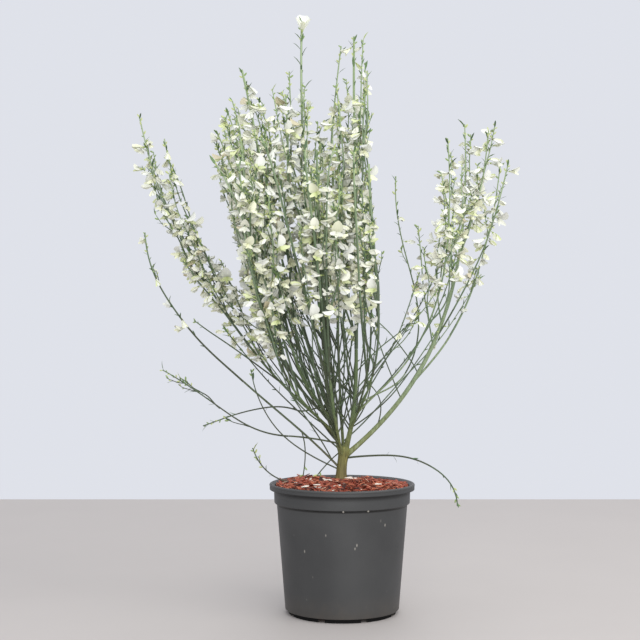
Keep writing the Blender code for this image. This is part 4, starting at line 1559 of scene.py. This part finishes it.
REDS = (
    Tint("chip_red", (0.33, 0.066, 0.034), 0.7, 0.35, 500.0, 0.0005),
    Tint("chip_orange", (0.50, 0.160, 0.082), 0.7, 0.30, 500.0, 0.0005),
    Tint("chip_brown", (0.17, 0.040, 0.022), 0.75, 0.35, 500.0, 0.0005),
    Tint("chip_dark", (0.045, 0.013, 0.009), 0.8, 0.35, 500.0, 0.0005),
)
PALES = (
    Tint("flake_cream", (0.84, 0.77, 0.67), 0.6, 0.10, 500.0, 0.0003),
    Tint("flake_buff", (0.66, 0.42, 0.29), 0.65, 0.20, 500.0, 0.0003),
)


@dataclass(frozen=True)
class Litter:
    """One kind of sliver: its number, half-sizes, flatness, slope, height, tints and their odds.

    The end taper and the waist are least and greatest shares of the half-width. Slivers may be
    laid at given places, nearly level, as large as they come and in the first tint.
    """

    name: str
    count: int
    lengths: Span
    widths: Span
    flat: float
    tilt: float
    rise: Span
    tints: tuple[Tint, ...]
    odds: tuple[float, ...]
    waist: Span = (0.7, 1.1)
    laid: tuple[Span, ...] = ()


LITTER = (
    Litter("bark_chips", 1500, (0.0040, 0.0105), (0.0013, 0.0038), 0.40, 0.70, (-0.0010, 0.0040),
           REDS, (0.46, 0.24, 0.20, 0.10)),
    Litter("bark_fibres", 1200, (0.0035, 0.0100), (0.00025, 0.00070), 0.9, 0.50, (0.0004, 0.0044),
           REDS, (0.36, 0.42, 0.16, 0.06)),
    Litter("pale_flakes", 110, (0.0020, 0.0056), (0.0010, 0.0028), 0.45, 0.90, (0.0022, 0.0048),
           PALES, (0.60, 0.40), (0.35, 1.25),
           ((-0.0190, -0.0180), (0.0135, -0.0200), (-0.0250, -0.0150), (0.0080, -0.0210),
            (-0.0320, -0.0560), (-0.0080, -0.0640), (0.0440, -0.0480), (-0.0480, -0.0590))),
)


@dataclass
class Mulch:
    """The root ball's heaped top of bark: a crumbly bed, chips, fibres and pale flakes.

    The wall is the ball's section, as radius and height, from under the heap to the middle of its
    underside. Lumps are waves a metre, a seed and a height.
    """

    top: float = 0.1740
    heap: float = 0.0080
    sunk: float = 0.0050
    edge_radius: float = 0.0868
    wall: tuple[Span, ...] = ((0.0868, 0.1600), (0.0868, 0.1443), (0.0836, 0.1427), (0.0728, 0.0072),
                              (0.0693, 0.0061), (0.0653, 0.0021), (0.0, 0.0021))
    lumps: tuple[tuple[float, int, float], ...] = ((34.0, 5, 0.0011), (90.0, 6, 0.0006))
    sides: int = 168
    rings: int = 46
    foot_place: Span = (-0.001, -0.012)
    foot_clear: float = 0.020
    ends: Span = (0.15, 0.6)
    bow: float = 0.35
    random: Random = field(default_factory=lambda: np.random.default_rng(77))

    def calm(self, places: Array) -> Array:
        """How calm the bed lies at (places, 2), from 0 to 1: it is flat and low at the back right."""
        back = np.clip((places[:, 1] + 0.006) / 0.026, 0.0, 1.0)
        return back * np.clip((places[:, 0] + 0.045) / 0.020, 0.0, 1.0)

    def level(self, places: Array) -> Array:
        """The bed's height: a shallow dome with lumps that fade at the wall.

        It is the top less the heap times the square of the share of the radius, plus noise.

        Args:
            places: (places, 2) across the bed.

        Returns:
            A height for each place.
        """
        share = np.hypot(places[:, 0], places[:, 1]) / self.edge_radius
        flat = np.column_stack([places, np.zeros(len(places))])
        lumps = sum(ripples(flat, scale, seed) * high for scale, seed, high in self.lumps)
        lumps = lumps - self.sunk * self.calm(places)
        return self.top - self.heap * share**2 + lumps * np.clip(3.0 * (1.04 - share), 0.0, 1.0)

    def build(self) -> None:
        """Make the bed and strew it."""
        self.bed()
        for litter in LITTER:
            self.strew(litter)

    def bed(self) -> None:
        """The closed bed: the domed top over the ball's wall and underside."""
        shares = np.linspace(0.012, 1.0, self.rings)
        dome = np.stack([shares * self.edge_radius, self.top - self.heap * shares**2], axis=1)
        profile = np.concatenate([[(0.0, self.top)], dome, self.wall])
        places = (dome[:, :1, None] * outward(even_turns(self.sides))[:, :2]).reshape(-1, 2)
        lift = self.level(places).reshape(self.rings, self.sides) - dome[:, 1:]
        lift = np.concatenate([lift, np.zeros((len(self.wall) - 1, self.sides))])
        bed = Joined()
        bed.add(*revolved(profile, self.sides, 0.0, lift))
        bed.piece("mulch_bed", [Bedding().material()], Slot.MULCH, ["root_ball"])

    def strew(self, litter: Litter) -> None:
        """Strew slivers over the bed, low and level round the trunk's foot and at the back right.

        Each sliver is a flat five-sided outline carried along a short bent line, whose ends are
        narrower than its middle. Its middle lies on the bed, and its points are held inside the
        pot's wall.

        Args:
            litter: what they are.
        """
        random, count, laid = self.random, litter.count, len(litter.laid)
        radius = self.edge_radius * np.sqrt(random.uniform(0.006, 0.985, count))
        places = radius[:, None] * outward(random.uniform(0.0, 2 * math.pi, count))[:, :2]
        from_foot = np.linalg.norm(places - self.foot_place, axis=1)
        calm = np.maximum(self.calm(places), np.clip(1.5 - from_foot / self.foot_clear, 0.0, 1.0))
        lift = random.uniform(*litter.rise, count) * (1.0 - 0.75 * (radius / self.edge_radius) ** 3)
        lift = lift * (1.0 - 0.9 * calm)
        heading = random.uniform(0.0, 2 * math.pi, count)
        slope = random.uniform(-litter.tilt, litter.tilt, count) * random.uniform(0.2, 1.0, count)
        slope = slope * (1.0 - 0.85 * calm)
        half = random.uniform(*litter.lengths, count)
        wide = random.uniform(*litter.widths, count)
        dealt = random.choice(len(litter.tints), count, p=litter.odds)
        if laid:
            places[:laid] = litter.laid
            half[:laid], wide[:laid] = litter.lengths[1], litter.widths[1]
            slope[:laid] *= 0.25
            heading[:laid] *= 0.12
            lift[:laid] = litter.rise[1] * 0.8
            dealt[:laid] = 0
        ahead = outward(heading)
        way, side = turned(ahead, UP, slope[:, None]), np.cross(UP, ahead)
        middle = np.column_stack([places, self.level(places) + lift])
        share = np.linspace(-1.0, 1.0, 5)
        bow = random.uniform(-self.bow, self.bow, count) * half
        lines = (
            middle[:, None]
            + way[:, None] * (share[None, :, None] * half[:, None, None])
            + side[:, None] * ((share**2)[None, :, None] * bow[:, None, None])
        )
        taper = np.stack([random.uniform(*self.ends, count), random.uniform(*litter.waist, count),
                          np.ones(count), random.uniform(*litter.waist, count),
                          random.uniform(*self.ends, count)], axis=1)
        points, quads, ends = carried(lines, wide[:, None] * taper, ring_section(5), litter.flat)
        reach = np.hypot(points[:, 0], points[:, 1])
        points[:, :2] *= np.minimum(1.0, self.edge_radius / np.maximum(reach, 1e-9))[:, None]
        faces = [(part, np.repeat(dealt, len(part) // count)) for part in (quads, ends)]
        slivers = Joined()
        slivers.add(points, faces)
        slivers.piece(litter.name, painted(litter.tints), Slot.MULCH, sharp=40.0)


@dataclass
class Woodwork:
    """The trunk and boughs with the bark's relief.

    The grain is a limb's length where its skin is a tube of unit radius, on which ripples are read.
    """

    growth: Growth
    trunk_finish: Bark = Bark("trunk_bark_ochre", (0.150, 0.160, 0.044), (0.142, 0.114, 0.036),
                              (0.32, 0.29, 0.095), 0.172, 0.222)
    bough_finish: Bark = Bark("bough_bark_olive", (0.100, 0.145, 0.060), (0.160, 0.165, 0.055),
                              (0.24, 0.29, 0.14), 0.200, 0.270)
    pale_finish: Bark = Bark("bough_bark_pale", (0.210, 0.270, 0.150), (0.165, 0.180, 0.062),
                             (0.38, 0.44, 0.28), 0.205, 0.300)
    dark_finish: Bark = Bark("bough_bark_dark", (0.075, 0.098, 0.052), (0.090, 0.088, 0.044),
                             (0.15, 0.18, 0.10), 0.200, 0.240)
    pale_boughs: tuple[str, ...] = ("bough_right", "bough_right_far", "bough_right_upper",
                                    "bough_right_inner")
    dark_boughs: tuple[str, ...] = ("bough_left_low", "bough_low_left", "bough_droop_left")
    trunk_sides: int = 72
    trunk_grain: float = 0.35
    bough_sides: int = 20
    bough_grain: float = 1.6
    collar: float = 0.32
    sunk: float = 0.0025

    def build(self) -> None:
        """Make the trunk and each bough."""
        self.trunk()
        finish = self.bough_finish.material()
        finishes = dict.fromkeys(self.dark_boughs, self.dark_finish.material())
        finishes.update(dict.fromkeys(self.pale_boughs, self.pale_finish.material()))
        for number, limb in enumerate(BOUGHS):
            self.bough(limb, number, finishes.get(limb.name, finish))

    def make(self, name: str, slot: Slot, finish: Material, line: Array, radii: Array,
             relief: Array) -> None:
        """Carry a round section with relief along a limb and make it a piece.

        Args:
            name: the limb's name, which the solid has too.
            slot: the record's slot.
            finish: its material.
            line: (rings, 3) places along it.
            radii: (rings,) radii.
            relief: (rings, sides) factors on the radii.
        """
        section = ring_section(relief.shape[1])
        points, *faces = carried(line[None], radii[None], section, 1.0, relief[None])
        if slot is Slot.TRUNK:
            points[:, 2] = np.maximum(points[:, 2], self.growth.trunk_foot[2] - self.sunk)
        wood = Joined()
        wood.add(points, [(part, 0) for part in faces])
        wood.piece(name + "_wood", [finish], slot, [name])

    def trunk(self) -> None:
        """The trunk: its radius waves in five flutes, which twist a little, under fine ridges."""
        shares = 0.5 - 0.5 * np.cos(np.linspace(0.0, math.pi, 90))
        turns = even_turns(self.trunk_sides)
        tube = outward(turns) + UP * self.trunk_grain * shares[:, None, None]
        flutes = 0.045 * np.cos(5 * turns + 1.6 * shares[:, None]) * (1.2 - shares[:, None])
        relief = 1.0 + flutes + 0.020 * ripples(tube, 1.6, 41) + 0.012 * ripples(tube, 4.5, 42)
        self.make("trunk", Slot.TRUNK, self.trunk_finish.material(),
                  self.growth.arcs["trunk"].at(shares), self.growth.trunk_radii(shares), relief)

    def bough(self, limb: Limb, number: int, finish: Material) -> None:
        """A bough: a ribbed limb that thickens to a collar where it leaves its parent.

        Args:
            limb: its sizes.
            number: its place in the list, which turns its ribs and seeds its ridges.
            finish: its material.
        """
        shares = np.linspace(0.0, 1.0, 56)
        radii = np.interp(shares, (0.0, 1.0), limb.radii)
        radii = radii * (1.0 + self.collar * np.exp(-shares / 0.05))
        radii = radii * limb.slim
        turns = even_turns(self.bough_sides)
        tube = outward(turns) + UP * self.bough_grain * shares[:, None, None]
        ribs = 0.05 * np.cos(5 * turns + 2.0 * shares[:, None] + number)
        relief = 1.0 + ribs + 0.035 * ripples(tube, 1.3, 60 + number)
        line = self.growth.arcs[limb.name].at(shares)
        self.make(limb.name, Slot.BOUGH, finish, line, radii, relief)


@dataclass
class Whips:
    """The ribbed green shoots, darker and greyer towards the foot.

    Each side has its piece's name, the least and greatest place across of its masses' tips, and
    how many tints lighter it is. Tones are counted in tints.
    """

    growth: Growth
    section: Array = field(default_factory=lambda: ring_section(10, 5, 0.13))
    twig_section: Array = field(default_factory=lambda: ring_section(6))
    tints: tuple[Tint, ...] = (
        Tint("shoot_foot", (0.056, 0.070, 0.037), 0.62),
        Tint("shoot_low", (0.080, 0.112, 0.062), 0.58),
        Tint("shoot_middle", (0.128, 0.182, 0.100), 0.52),
        Tint("shoot_high", (0.190, 0.255, 0.140), 0.50),
        Tint("shoot_tip", (0.270, 0.350, 0.185), 0.48),
    )
    sides: tuple[tuple[str, float, float, float], ...] = (
        ("whips_left", -1.0, -0.10, 0.1), ("whips_centre", -0.10, 0.06, 0.0),
        ("whips_right", 0.06, 1.0, 1.0),
    )
    dark_below: float = 0.23
    light_above: float = 0.58
    height_tones: float = 3.2
    tip_tones: float = 1.2
    odd_tones: float = 0.8
    pale_bough: str = "bough_right"
    pale_tones: float = 1.4
    seed: int = 900

    def build(self) -> None:
        """Join the shoots into three pieces, by where their masses' tips stand."""
        finishes = painted(self.tints)
        shoots = self.growth.shoots
        for name, low, high, lighter in self.sides:
            masses = [mass.name for mass in MASSES if low <= mass.tip[0] < high]
            piece = Joined()
            for rings in sorted({len(shoot.line) for shoot in shoots}):
                group = [shoot for shoot in shoots
                         if len(shoot.line) == rings and shoot.mass.name in masses]
                if group:
                    self.draw(piece, group, rings, lighter)
            piece.piece(name, finishes, Slot.WHIPS, masses)

    def draw(self, piece: Joined, group: list[Shoot], rings: int, lighter: float) -> None:
        """Draw shoots with equal numbers of rings.

        The ribbed section is carried along them, and the tint rises with height and towards tips.

        Args:
            piece: where they are added.
            group: the shoots.
            rings: how many points each line has.
            lighter: how many tints lighter they are.
        """
        lines = np.stack([shoot.line for shoot in group])
        widths = np.stack([shoot.radii for shoot in group])
        section = self.section if rings > Kind.TWIG.rings else self.twig_section
        points, quads, ends = carried(lines, widths, section)
        random = np.random.default_rng(self.seed + rings)
        middle = (lines[:, 1:, 2] + lines[:, :-1, 2]) / 2
        age = (middle - self.dark_below) / (self.light_above - self.dark_below)
        along = np.linspace(0.0, 1.0, rings - 1)[None] ** 3
        odd = random.uniform(-self.odd_tones, self.odd_tones, (len(group), 1))
        pale = [self.pale_tones * (shoot.mass.limb == self.pale_bough and shoot.kind is Kind.LEADER)
                for shoot in group]
        tone = age * self.height_tones + along * self.tip_tones + lighter + odd
        tone = tone + np.array(pale)[:, None]
        tone = np.clip(np.floor(tone), 0, len(self.tints) - 1).astype(int)
        piece.add(points, [(quads, np.repeat(tone.ravel(), len(section))),
                           (ends, tone[:, [0, -1]].ravel())])


class Opening(Enum):
    """How far a flower is open: its banner's slope, bend, width and cup, and its wings' droop."""

    YOUNG = (0.12, -0.70, 0.36, -1.30, -0.10)
    HALF = (0.45, 0.10, 0.48, -0.85, -0.26)
    FULL = (0.72, 0.55, 0.64, -0.60, -0.34)


@dataclass(frozen=True)
class Palette:
    """One joined piece of small things: its name, its tints and their odds."""

    name: str
    tints: tuple[Tint, ...]
    odds: tuple[float, ...] = ()

    def deal(self, count: int, random: Random) -> Array:
        """A tint's number for each of so many things."""
        return random.choice(len(self.tints), count, p=self.odds)

    def piece(self, things: Joined) -> None:
        """Make the piece."""
        things.piece(self.name, painted(self.tints), Slot.WHIPS)


@dataclass
class Foliage:
    """Blossom, buds and leaves along the shoots.

    Pitches, lengths and heights are in metres. Blossom thins out below the lowest flowers, and on
    the left it goes lower, by a drop that sets in over a stretch from the middle. Where a flower is
    wide open is a matter of odds, and odds over one mark the large flower at the crown.
    """

    growth: Growth
    flower_length: float = 0.0176
    flower_sizes: Span = (0.80, 1.20)
    flower_rise: Span = (-40.0, 16.0)
    flower_roll: float = 0.6
    half_open: float = 0.30
    young_from: float = 0.75
    petal_margin: float = -0.005
    back_reach: float = 0.172
    lowest: float = 0.340
    fade: float = 0.085
    low_drop: float = 0.080
    low_from: float = 0.070
    low_over: float = 0.050
    low_bloomers: tuple[str, ...] = ("mass_outer_left", "mass_left_upper", "mass_left_front")
    low_bloom: float = 0.3
    wide_size: float = 1.08
    crowned: str = "mass_leader"
    crown_share: float = 0.958
    crown_side: Point = (0.3, -0.9, 0.3)
    crown_odds: float = 2.0
    crown_size: float = 1.55
    crown_axes: tuple[Point, ...] = (
        (0.100, -0.545, 0.832), (0.994, 0.055, -0.084), (0.000, 0.836, 0.548),
    )
    bud_pitch: float = 0.0048
    bud_stretch: float = 0.028
    bud_lengths: Span = (0.0030, 0.0064)
    bud_lean: Span = (0.5, 1.0)
    leaf_pitch: float = 0.0110
    leaf_lean: Span = (0.45, 1.05)
    leaf_odd_tones: Span = (-0.6, 0.9)
    young: Span = (0.0035, 0.0060)
    grown: Span = (0.0050, 0.0110)
    crown_leaf: Span = (0.0120, 0.0160)
    crown_leaves: Span = (0.86, 0.965)
    random: Random = field(default_factory=lambda: np.random.default_rng(300))
    banners: Palette = Palette("flower_banners", (
        Tint("banner_white", (0.79, 0.80, 0.74)),
        Tint("banner_cream", (0.78, 0.78, 0.66)),
        Tint("banner_shade", (0.72, 0.73, 0.55)),
        Tint("banner_aged", (0.66, 0.60, 0.42)),
    ), (0.53, 0.29, 0.14, 0.04))
    keels: Palette = Palette("flower_wings_and_keels", (
        Tint("keel_white", (0.79, 0.80, 0.71)),
        Tint("keel_cream", (0.77, 0.78, 0.59)),
        Tint("keel_green", (0.65, 0.70, 0.40)),
    ), (0.40, 0.38, 0.22))
    calyces: Palette = Palette("flower_calyces", (
        Tint("calyx_green", (0.38, 0.46, 0.15)),
        Tint("calyx_olive", (0.15, 0.16, 0.06)),
    ), (0.6, 0.4))
    bud_green: Palette = Palette("buds", (
        Tint("bud_yellow_green", (0.52, 0.58, 0.24)),
        Tint("bud_green", (0.28, 0.38, 0.14)),
    ), (0.6, 0.4))
    leaf_green: Palette = Palette("leaves", (
        Tint("leaf_dark", (0.075, 0.130, 0.060)),
        Tint("leaf_green", (0.135, 0.220, 0.085)),
        Tint("leaf_young", (0.400, 0.480, 0.180)),
    ))

    def build(self) -> None:
        """Deal out flowers, buds and leaves."""
        flowers = self.blossom()
        self.buds()
        self.leaves(flowers)

    def along(self, shoot: Shoot, first: float, last: float,
              pitch: float) -> tuple[Array, Array, Array, Array]:
        """Places along a shoot, in turn around it.

        Args:
            shoot: the shoot.
            first: the share where they start.
            last: the share where they end.
            pitch: metres from one to the next.

        Returns:
            Roots on the shoot's skin, its directions, unit vectors square to it, and shares.
        """
        count = max(0, round(shoot.length() * (last - first) / pitch))
        steps = np.arange(count) + self.random.uniform(0.05, 0.95, count)
        shares = first + (last - first) * steps / max(count, 1)
        ways = shoot.way(shares)
        turns = np.arange(count) * GOLDEN_TURN + self.random.uniform(-0.7, 0.7, count)
        sides = sideways(ways, turns[:, None])
        roots = shoot.at(shares) + sides * shoot.radius(shares) * 0.6
        return roots, ways, sides, shares

    def flower(self, opening: Opening) -> tuple[Pattern, Pattern, Pattern]:
        """A pea flower's parts, in units of its length: +X out of the stem and +Z towards its banner.

        Args:
            opening: how far it is open.

        Returns:
            Its banner, its wings with its keel, and its calyx with its stalk.
        """
        lift, bend, wide, cup, droop = opening.value
        banner = Blade(0.76, wide, (0.24, 0.70, 1.0, 0.95, 0.58), 5, lift, bend, cup,
                       bulge=0.12, at=(0.29, 0.0, 0.03))
        left, right = (
            Blade(0.76, 0.25, (0.30, 0.88, 1.0, 0.45), 3, droop, -0.75, 0.25, roll,
                  at=(0.29, place, 0.0))
            for roll, place in ((0.8 + wide, -0.03), (-0.8 - wide, 0.03))
        )
        keel = Blade(0.60, 0.22, (0.35, 0.95, 1.0, 0.40), 3, droop - 0.12, 0.20, 0.95,
                     at=(0.29, 0.0, -0.04))
        stalk = Pattern.stem([(0, 0, 0), (0.10, 0, 0.02), (0.22, 0, 0.0)], (0.020, 0.018, 0.024), 3)
        calyx = Pattern.stem([(0.20, 0, 0), (0.27, 0, 0), (0.37, 0, 0.0)], (0.025, 0.070, 0.058), 5)
        return (Pattern.of(banner.shape()),
                Pattern.of(left.shape(), right.shape(), keel.shape()), Pattern.of(stalk, calyx))

    def facing(self, ways: Array, sides: Array) -> Array:
        """Axes for flowers that face outwards.

        The first axis is the level part of the way off the stem, raised by a random angle. The
        third is upright, made square to it and rolled a little.

        Args:
            ways: (flowers, 3) directions of their shoots.
            sides: (flowers, 3) directions off them.

        Returns:
            (flowers, 3, 3) unit axes, a row each.
        """
        level = unit((sides + ways * 0.25) * [1.0, 1.0, 0.0] + 1e-6)
        rise = np.radians(self.random.uniform(*self.flower_rise, (len(ways), 1)))
        out = turned(level, UP, rise)
        side = unit(np.cross(np.broadcast_to(UP, out.shape), out))
        roll = self.random.uniform(-self.flower_roll, self.flower_roll, (len(ways), 1))
        rolled = turned(np.cross(out, side), side, roll)
        return np.stack([out, np.cross(rolled, out), rolled], axis=1)

    def blossom(self) -> list[Array]:
        """Make the pea flowers, in three joined pieces.

        They thin out towards the tips and below the lowest ones, and leave the sky between the
        sheaves open. The upper ones are younger. One large flower crowns the leader.

        Returns:
            Their roots, their shoots' directions and their directions off them.
        """
        random, parts = self.random, []
        for shoot in self.growth.shoots:
            habit = shoot.mass.habit
            last = habit.leader_last if shoot.kind is Kind.LEADER else habit.last
            if habit is BARE or shoot.bloom >= last:
                continue
            first = shoot.bloom * (self.low_bloom if shoot.mass.name in self.low_bloomers else 1.0)
            found = self.along(shoot, first, last, habit.pitch)
            tips = found[0] + found[2] * self.flower_length
            kept = self.growth.keeps(shoot.mass, tips, self.petal_margin)
            kept &= ~self.growth.sky.covers(tips) & (tips[:, 1] < self.back_reach)
            left = np.clip((-tips[:, 0] - self.low_from) / self.low_over, 0.0, 1.0)
            lowest = self.lowest - self.low_drop * left
            odds = np.clip((1.04 - found[3]) / 0.25, 0.60, 1.0)
            odds = odds * np.clip((tips[:, 2] - lowest) / self.fade, 0.0, 1.0)
            kept &= random.random(len(kept)) < odds
            wide_open = np.full(len(kept), habit.open)
            parts.append(tuple(column[kept] for column in (*found, wide_open)))
            if shoot.kind is Kind.LEADER and shoot.mass.name == self.crowned:
                crown = np.array([self.crown_share])
                parts.append((shoot.at(crown), shoot.way(crown), np.array([self.crown_side]),
                              np.zeros(1), np.array([self.crown_odds])))
        roots, ways, sides, shares, odds = gathered(parts)
        LOG.info("flowers: %d", len(roots))
        axes = self.facing(ways, sides)
        sizes = self.flower_length * random.uniform(*self.flower_sizes, len(roots))
        chance = random.random(len(roots)) + np.clip(shares - self.young_from, 0.0, 1.0)
        opening = np.where(chance < odds, 2, np.where(chance < odds + self.half_open, 1, 0))
        sizes = sizes * np.where(opening == 2, self.wide_size, 1.0)
        crowns = odds == self.crown_odds
        axes[crowns] = self.crown_axes
        sizes[crowns] = self.flower_length * self.crown_size
        palettes = (self.banners, self.keels, self.calyces)
        pieces = [Joined() for _ in palettes]
        for number, kind in enumerate(Opening):
            mask = opening == number
            for palette, pattern, piece in zip(palettes, self.flower(kind), pieces):
                dealt = palette.deal(mask.sum(), random)
                piece.add(*pattern.dealt(roots[mask], axes[mask], sizes[mask], dealt))
        for palette, piece in zip(palettes, pieces):
            palette.piece(piece)
        return [roots, ways, sides]

    def buds(self) -> None:
        """Small closed buds crowded at the tips of the shoots."""
        parts = []
        for shoot in self.growth.shoots:
            short = shoot.kind is Kind.TWIG or shoot.bloom == 1.0
            stretch = self.bud_stretch * (0.4 if short else 1.0)
            first = max(1.0 - stretch / shoot.length(), 0.2)
            parts.append(self.along(shoot, first, 1.0, self.bud_pitch))
        roots, ways, sides, _ = gathered(parts)
        LOG.info("buds: %d", len(roots))
        out = unit(turned(ways, sides, self.random.uniform(*self.bud_lean, (len(roots), 1))))
        side = unit(np.cross(out, ways) + 1e-6)
        axes = np.stack([out, side, np.cross(out, side)], axis=1)
        bud = Pattern.of(Pattern.stem([(0, 0, 0), (0.35, 0, 0), (0.75, 0, 0), (1.0, 0, 0)],
                                      (0.05, 0.20, 0.19, 0.05), 4))
        lengths = self.random.uniform(*self.bud_lengths, len(roots))
        dealt = self.bud_green.deal(len(roots), self.random)
        buds = Joined()
        buds.add(*bud.dealt(roots, axes, lengths, dealt))
        self.bud_green.piece(buds)

    def leaves(self, flowers: Sequence[Array]) -> None:
        """Narrow leaves: young ones beside the flowers, and others that stand off the shoots.

        Args:
            flowers: where the flowers sit, as their roots, ways and sides.
        """
        random, parts = self.random, []
        odds = random.random(len(flowers[0]))
        for beside, tone, sizes in ((odds < 0.75, 2.5, self.young), (odds > 0.40, 0.25, self.grown)):
            count = beside.sum()
            parts.append((*(column[beside] for column in flowers), np.full(count, tone),
                          random.uniform(*sizes, count)))
        for shoot in self.growth.shoots:
            first = 0.75 if shoot.bloom == 1.0 else 0.25
            *found, shares = self.along(shoot, first, 1.0, self.leaf_pitch)
            kept = random.random(len(shares)) < 0.30 + 0.60 * shares
            sizes = random.uniform(*self.grown, len(kept)) * (1.0 + 0.35 * (shares > 0.9))
            parts.append(tuple(column[kept] for column in (*found, shares * 1.2, sizes)))
            if shoot.kind is Kind.LEADER and shoot.mass.name == self.crowned:
                *found, shares = self.along(shoot, *self.crown_leaves, self.leaf_pitch)
                sizes = random.uniform(*self.crown_leaf, len(shares))
                parts.append((*found, np.full(len(sizes), 0.8), sizes))
        roots, ways, sides, tones, lengths = gathered(parts)
        count = len(roots)
        LOG.info("leaves: %d", count)
        out = unit(turned(ways, sides, random.uniform(*self.leaf_lean, (count, 1))))
        side = unit(np.cross(ways, sides))
        axes = np.stack([out, side, np.cross(out, side)], axis=1)
        leaf = Pattern.of(Blade(1.0, 0.24, (0.25, 0.95, 0.90, 0.18), 3, 0.15, -0.35, 0.35).shape())
        dealt = np.floor(tones + random.uniform(*self.leaf_odd_tones, count))
        leaves = Joined()
        leaves.add(*leaf.dealt(roots, axes, lengths, np.clip(dealt, 0, 2).astype(int)))
        self.leaf_green.piece(leaves)


@dataclass
class Studio:
    """The pale floor, the soft lights and the camera at the photograph's angle.

    Each light has its name, place, size, power and colour.
    """

    floor_reach: float = 1.12
    sky: Colour = (0.74, 0.76, 0.82)
    lights: tuple[tuple[str, Point, float, float, Colour], ...] = (
        ("key_light", (1.5, -1.1, 2.0), 1.6, 17.0, (1.0, 0.985, 0.96)),
        ("front_light", (0.30, -2.4, 1.1), 2.0, 43.0, (1.0, 1.0, 0.99)),
        ("back_light", (0.2, 1.6, 2.3), 1.4, 12.0, (1.0, 1.0, 1.0)),
    )
    lit: Point = (0.0, 0.0, 0.4)
    lens: float = 76.5

    def build(self) -> None:
        """Make the floor, the sky, the lights and the camera."""
        corners = np.array([(-1, -1, 0), (1, -1, 0), (1, 1, 0), (-1, 1, 0)]) * self.floor_reach
        mesh = bpy.data.meshes.new("floor")
        mesh.from_pydata(corners.tolist(), [], [(0, 1, 2, 3)])
        mesh.materials.append(StudioFloor().material())
        placed("floor", mesh)
        world = bpy.data.worlds.new("soft_sky")
        world.use_nodes = True
        sky = world.node_tree.nodes["Background"]
        sky.inputs["Color"].default_value = (*self.sky, 1.0)
        bpy.context.scene.world = world
        bpy.context.scene.view_settings.view_transform = "Standard"
        for name, place, size, power, colour in self.lights:
            data = bpy.data.lights.new(name, "AREA")
            data.size, data.energy, data.color = size, power, colour
            lamp = placed(name, data)
            lamp.location = place
            away = Vector(place) - Vector(self.lit)
            lamp.rotation_euler = away.to_track_quat("Z", "Y").to_euler()
        camera = placed("camera", bpy.data.cameras.new("camera"))
        camera.location = EYE
        camera.rotation_euler = (math.pi / 2, 0.0, 0.0)
        camera.data.lens = self.lens
        camera.data.sensor_width = 36.0
        bpy.context.scene.camera = camera


def main() -> None:
    """Build the studio and every sub-assembly."""
    logging.basicConfig(level=logging.INFO, format="%(message)s")
    Studio().build()
    growth = Growth()
    NurseryPot().build()
    Mulch().build()
    Woodwork(growth).build()
    Whips(growth).build()
    Foliage(growth).build()


if __name__ == "__main__":
    main()
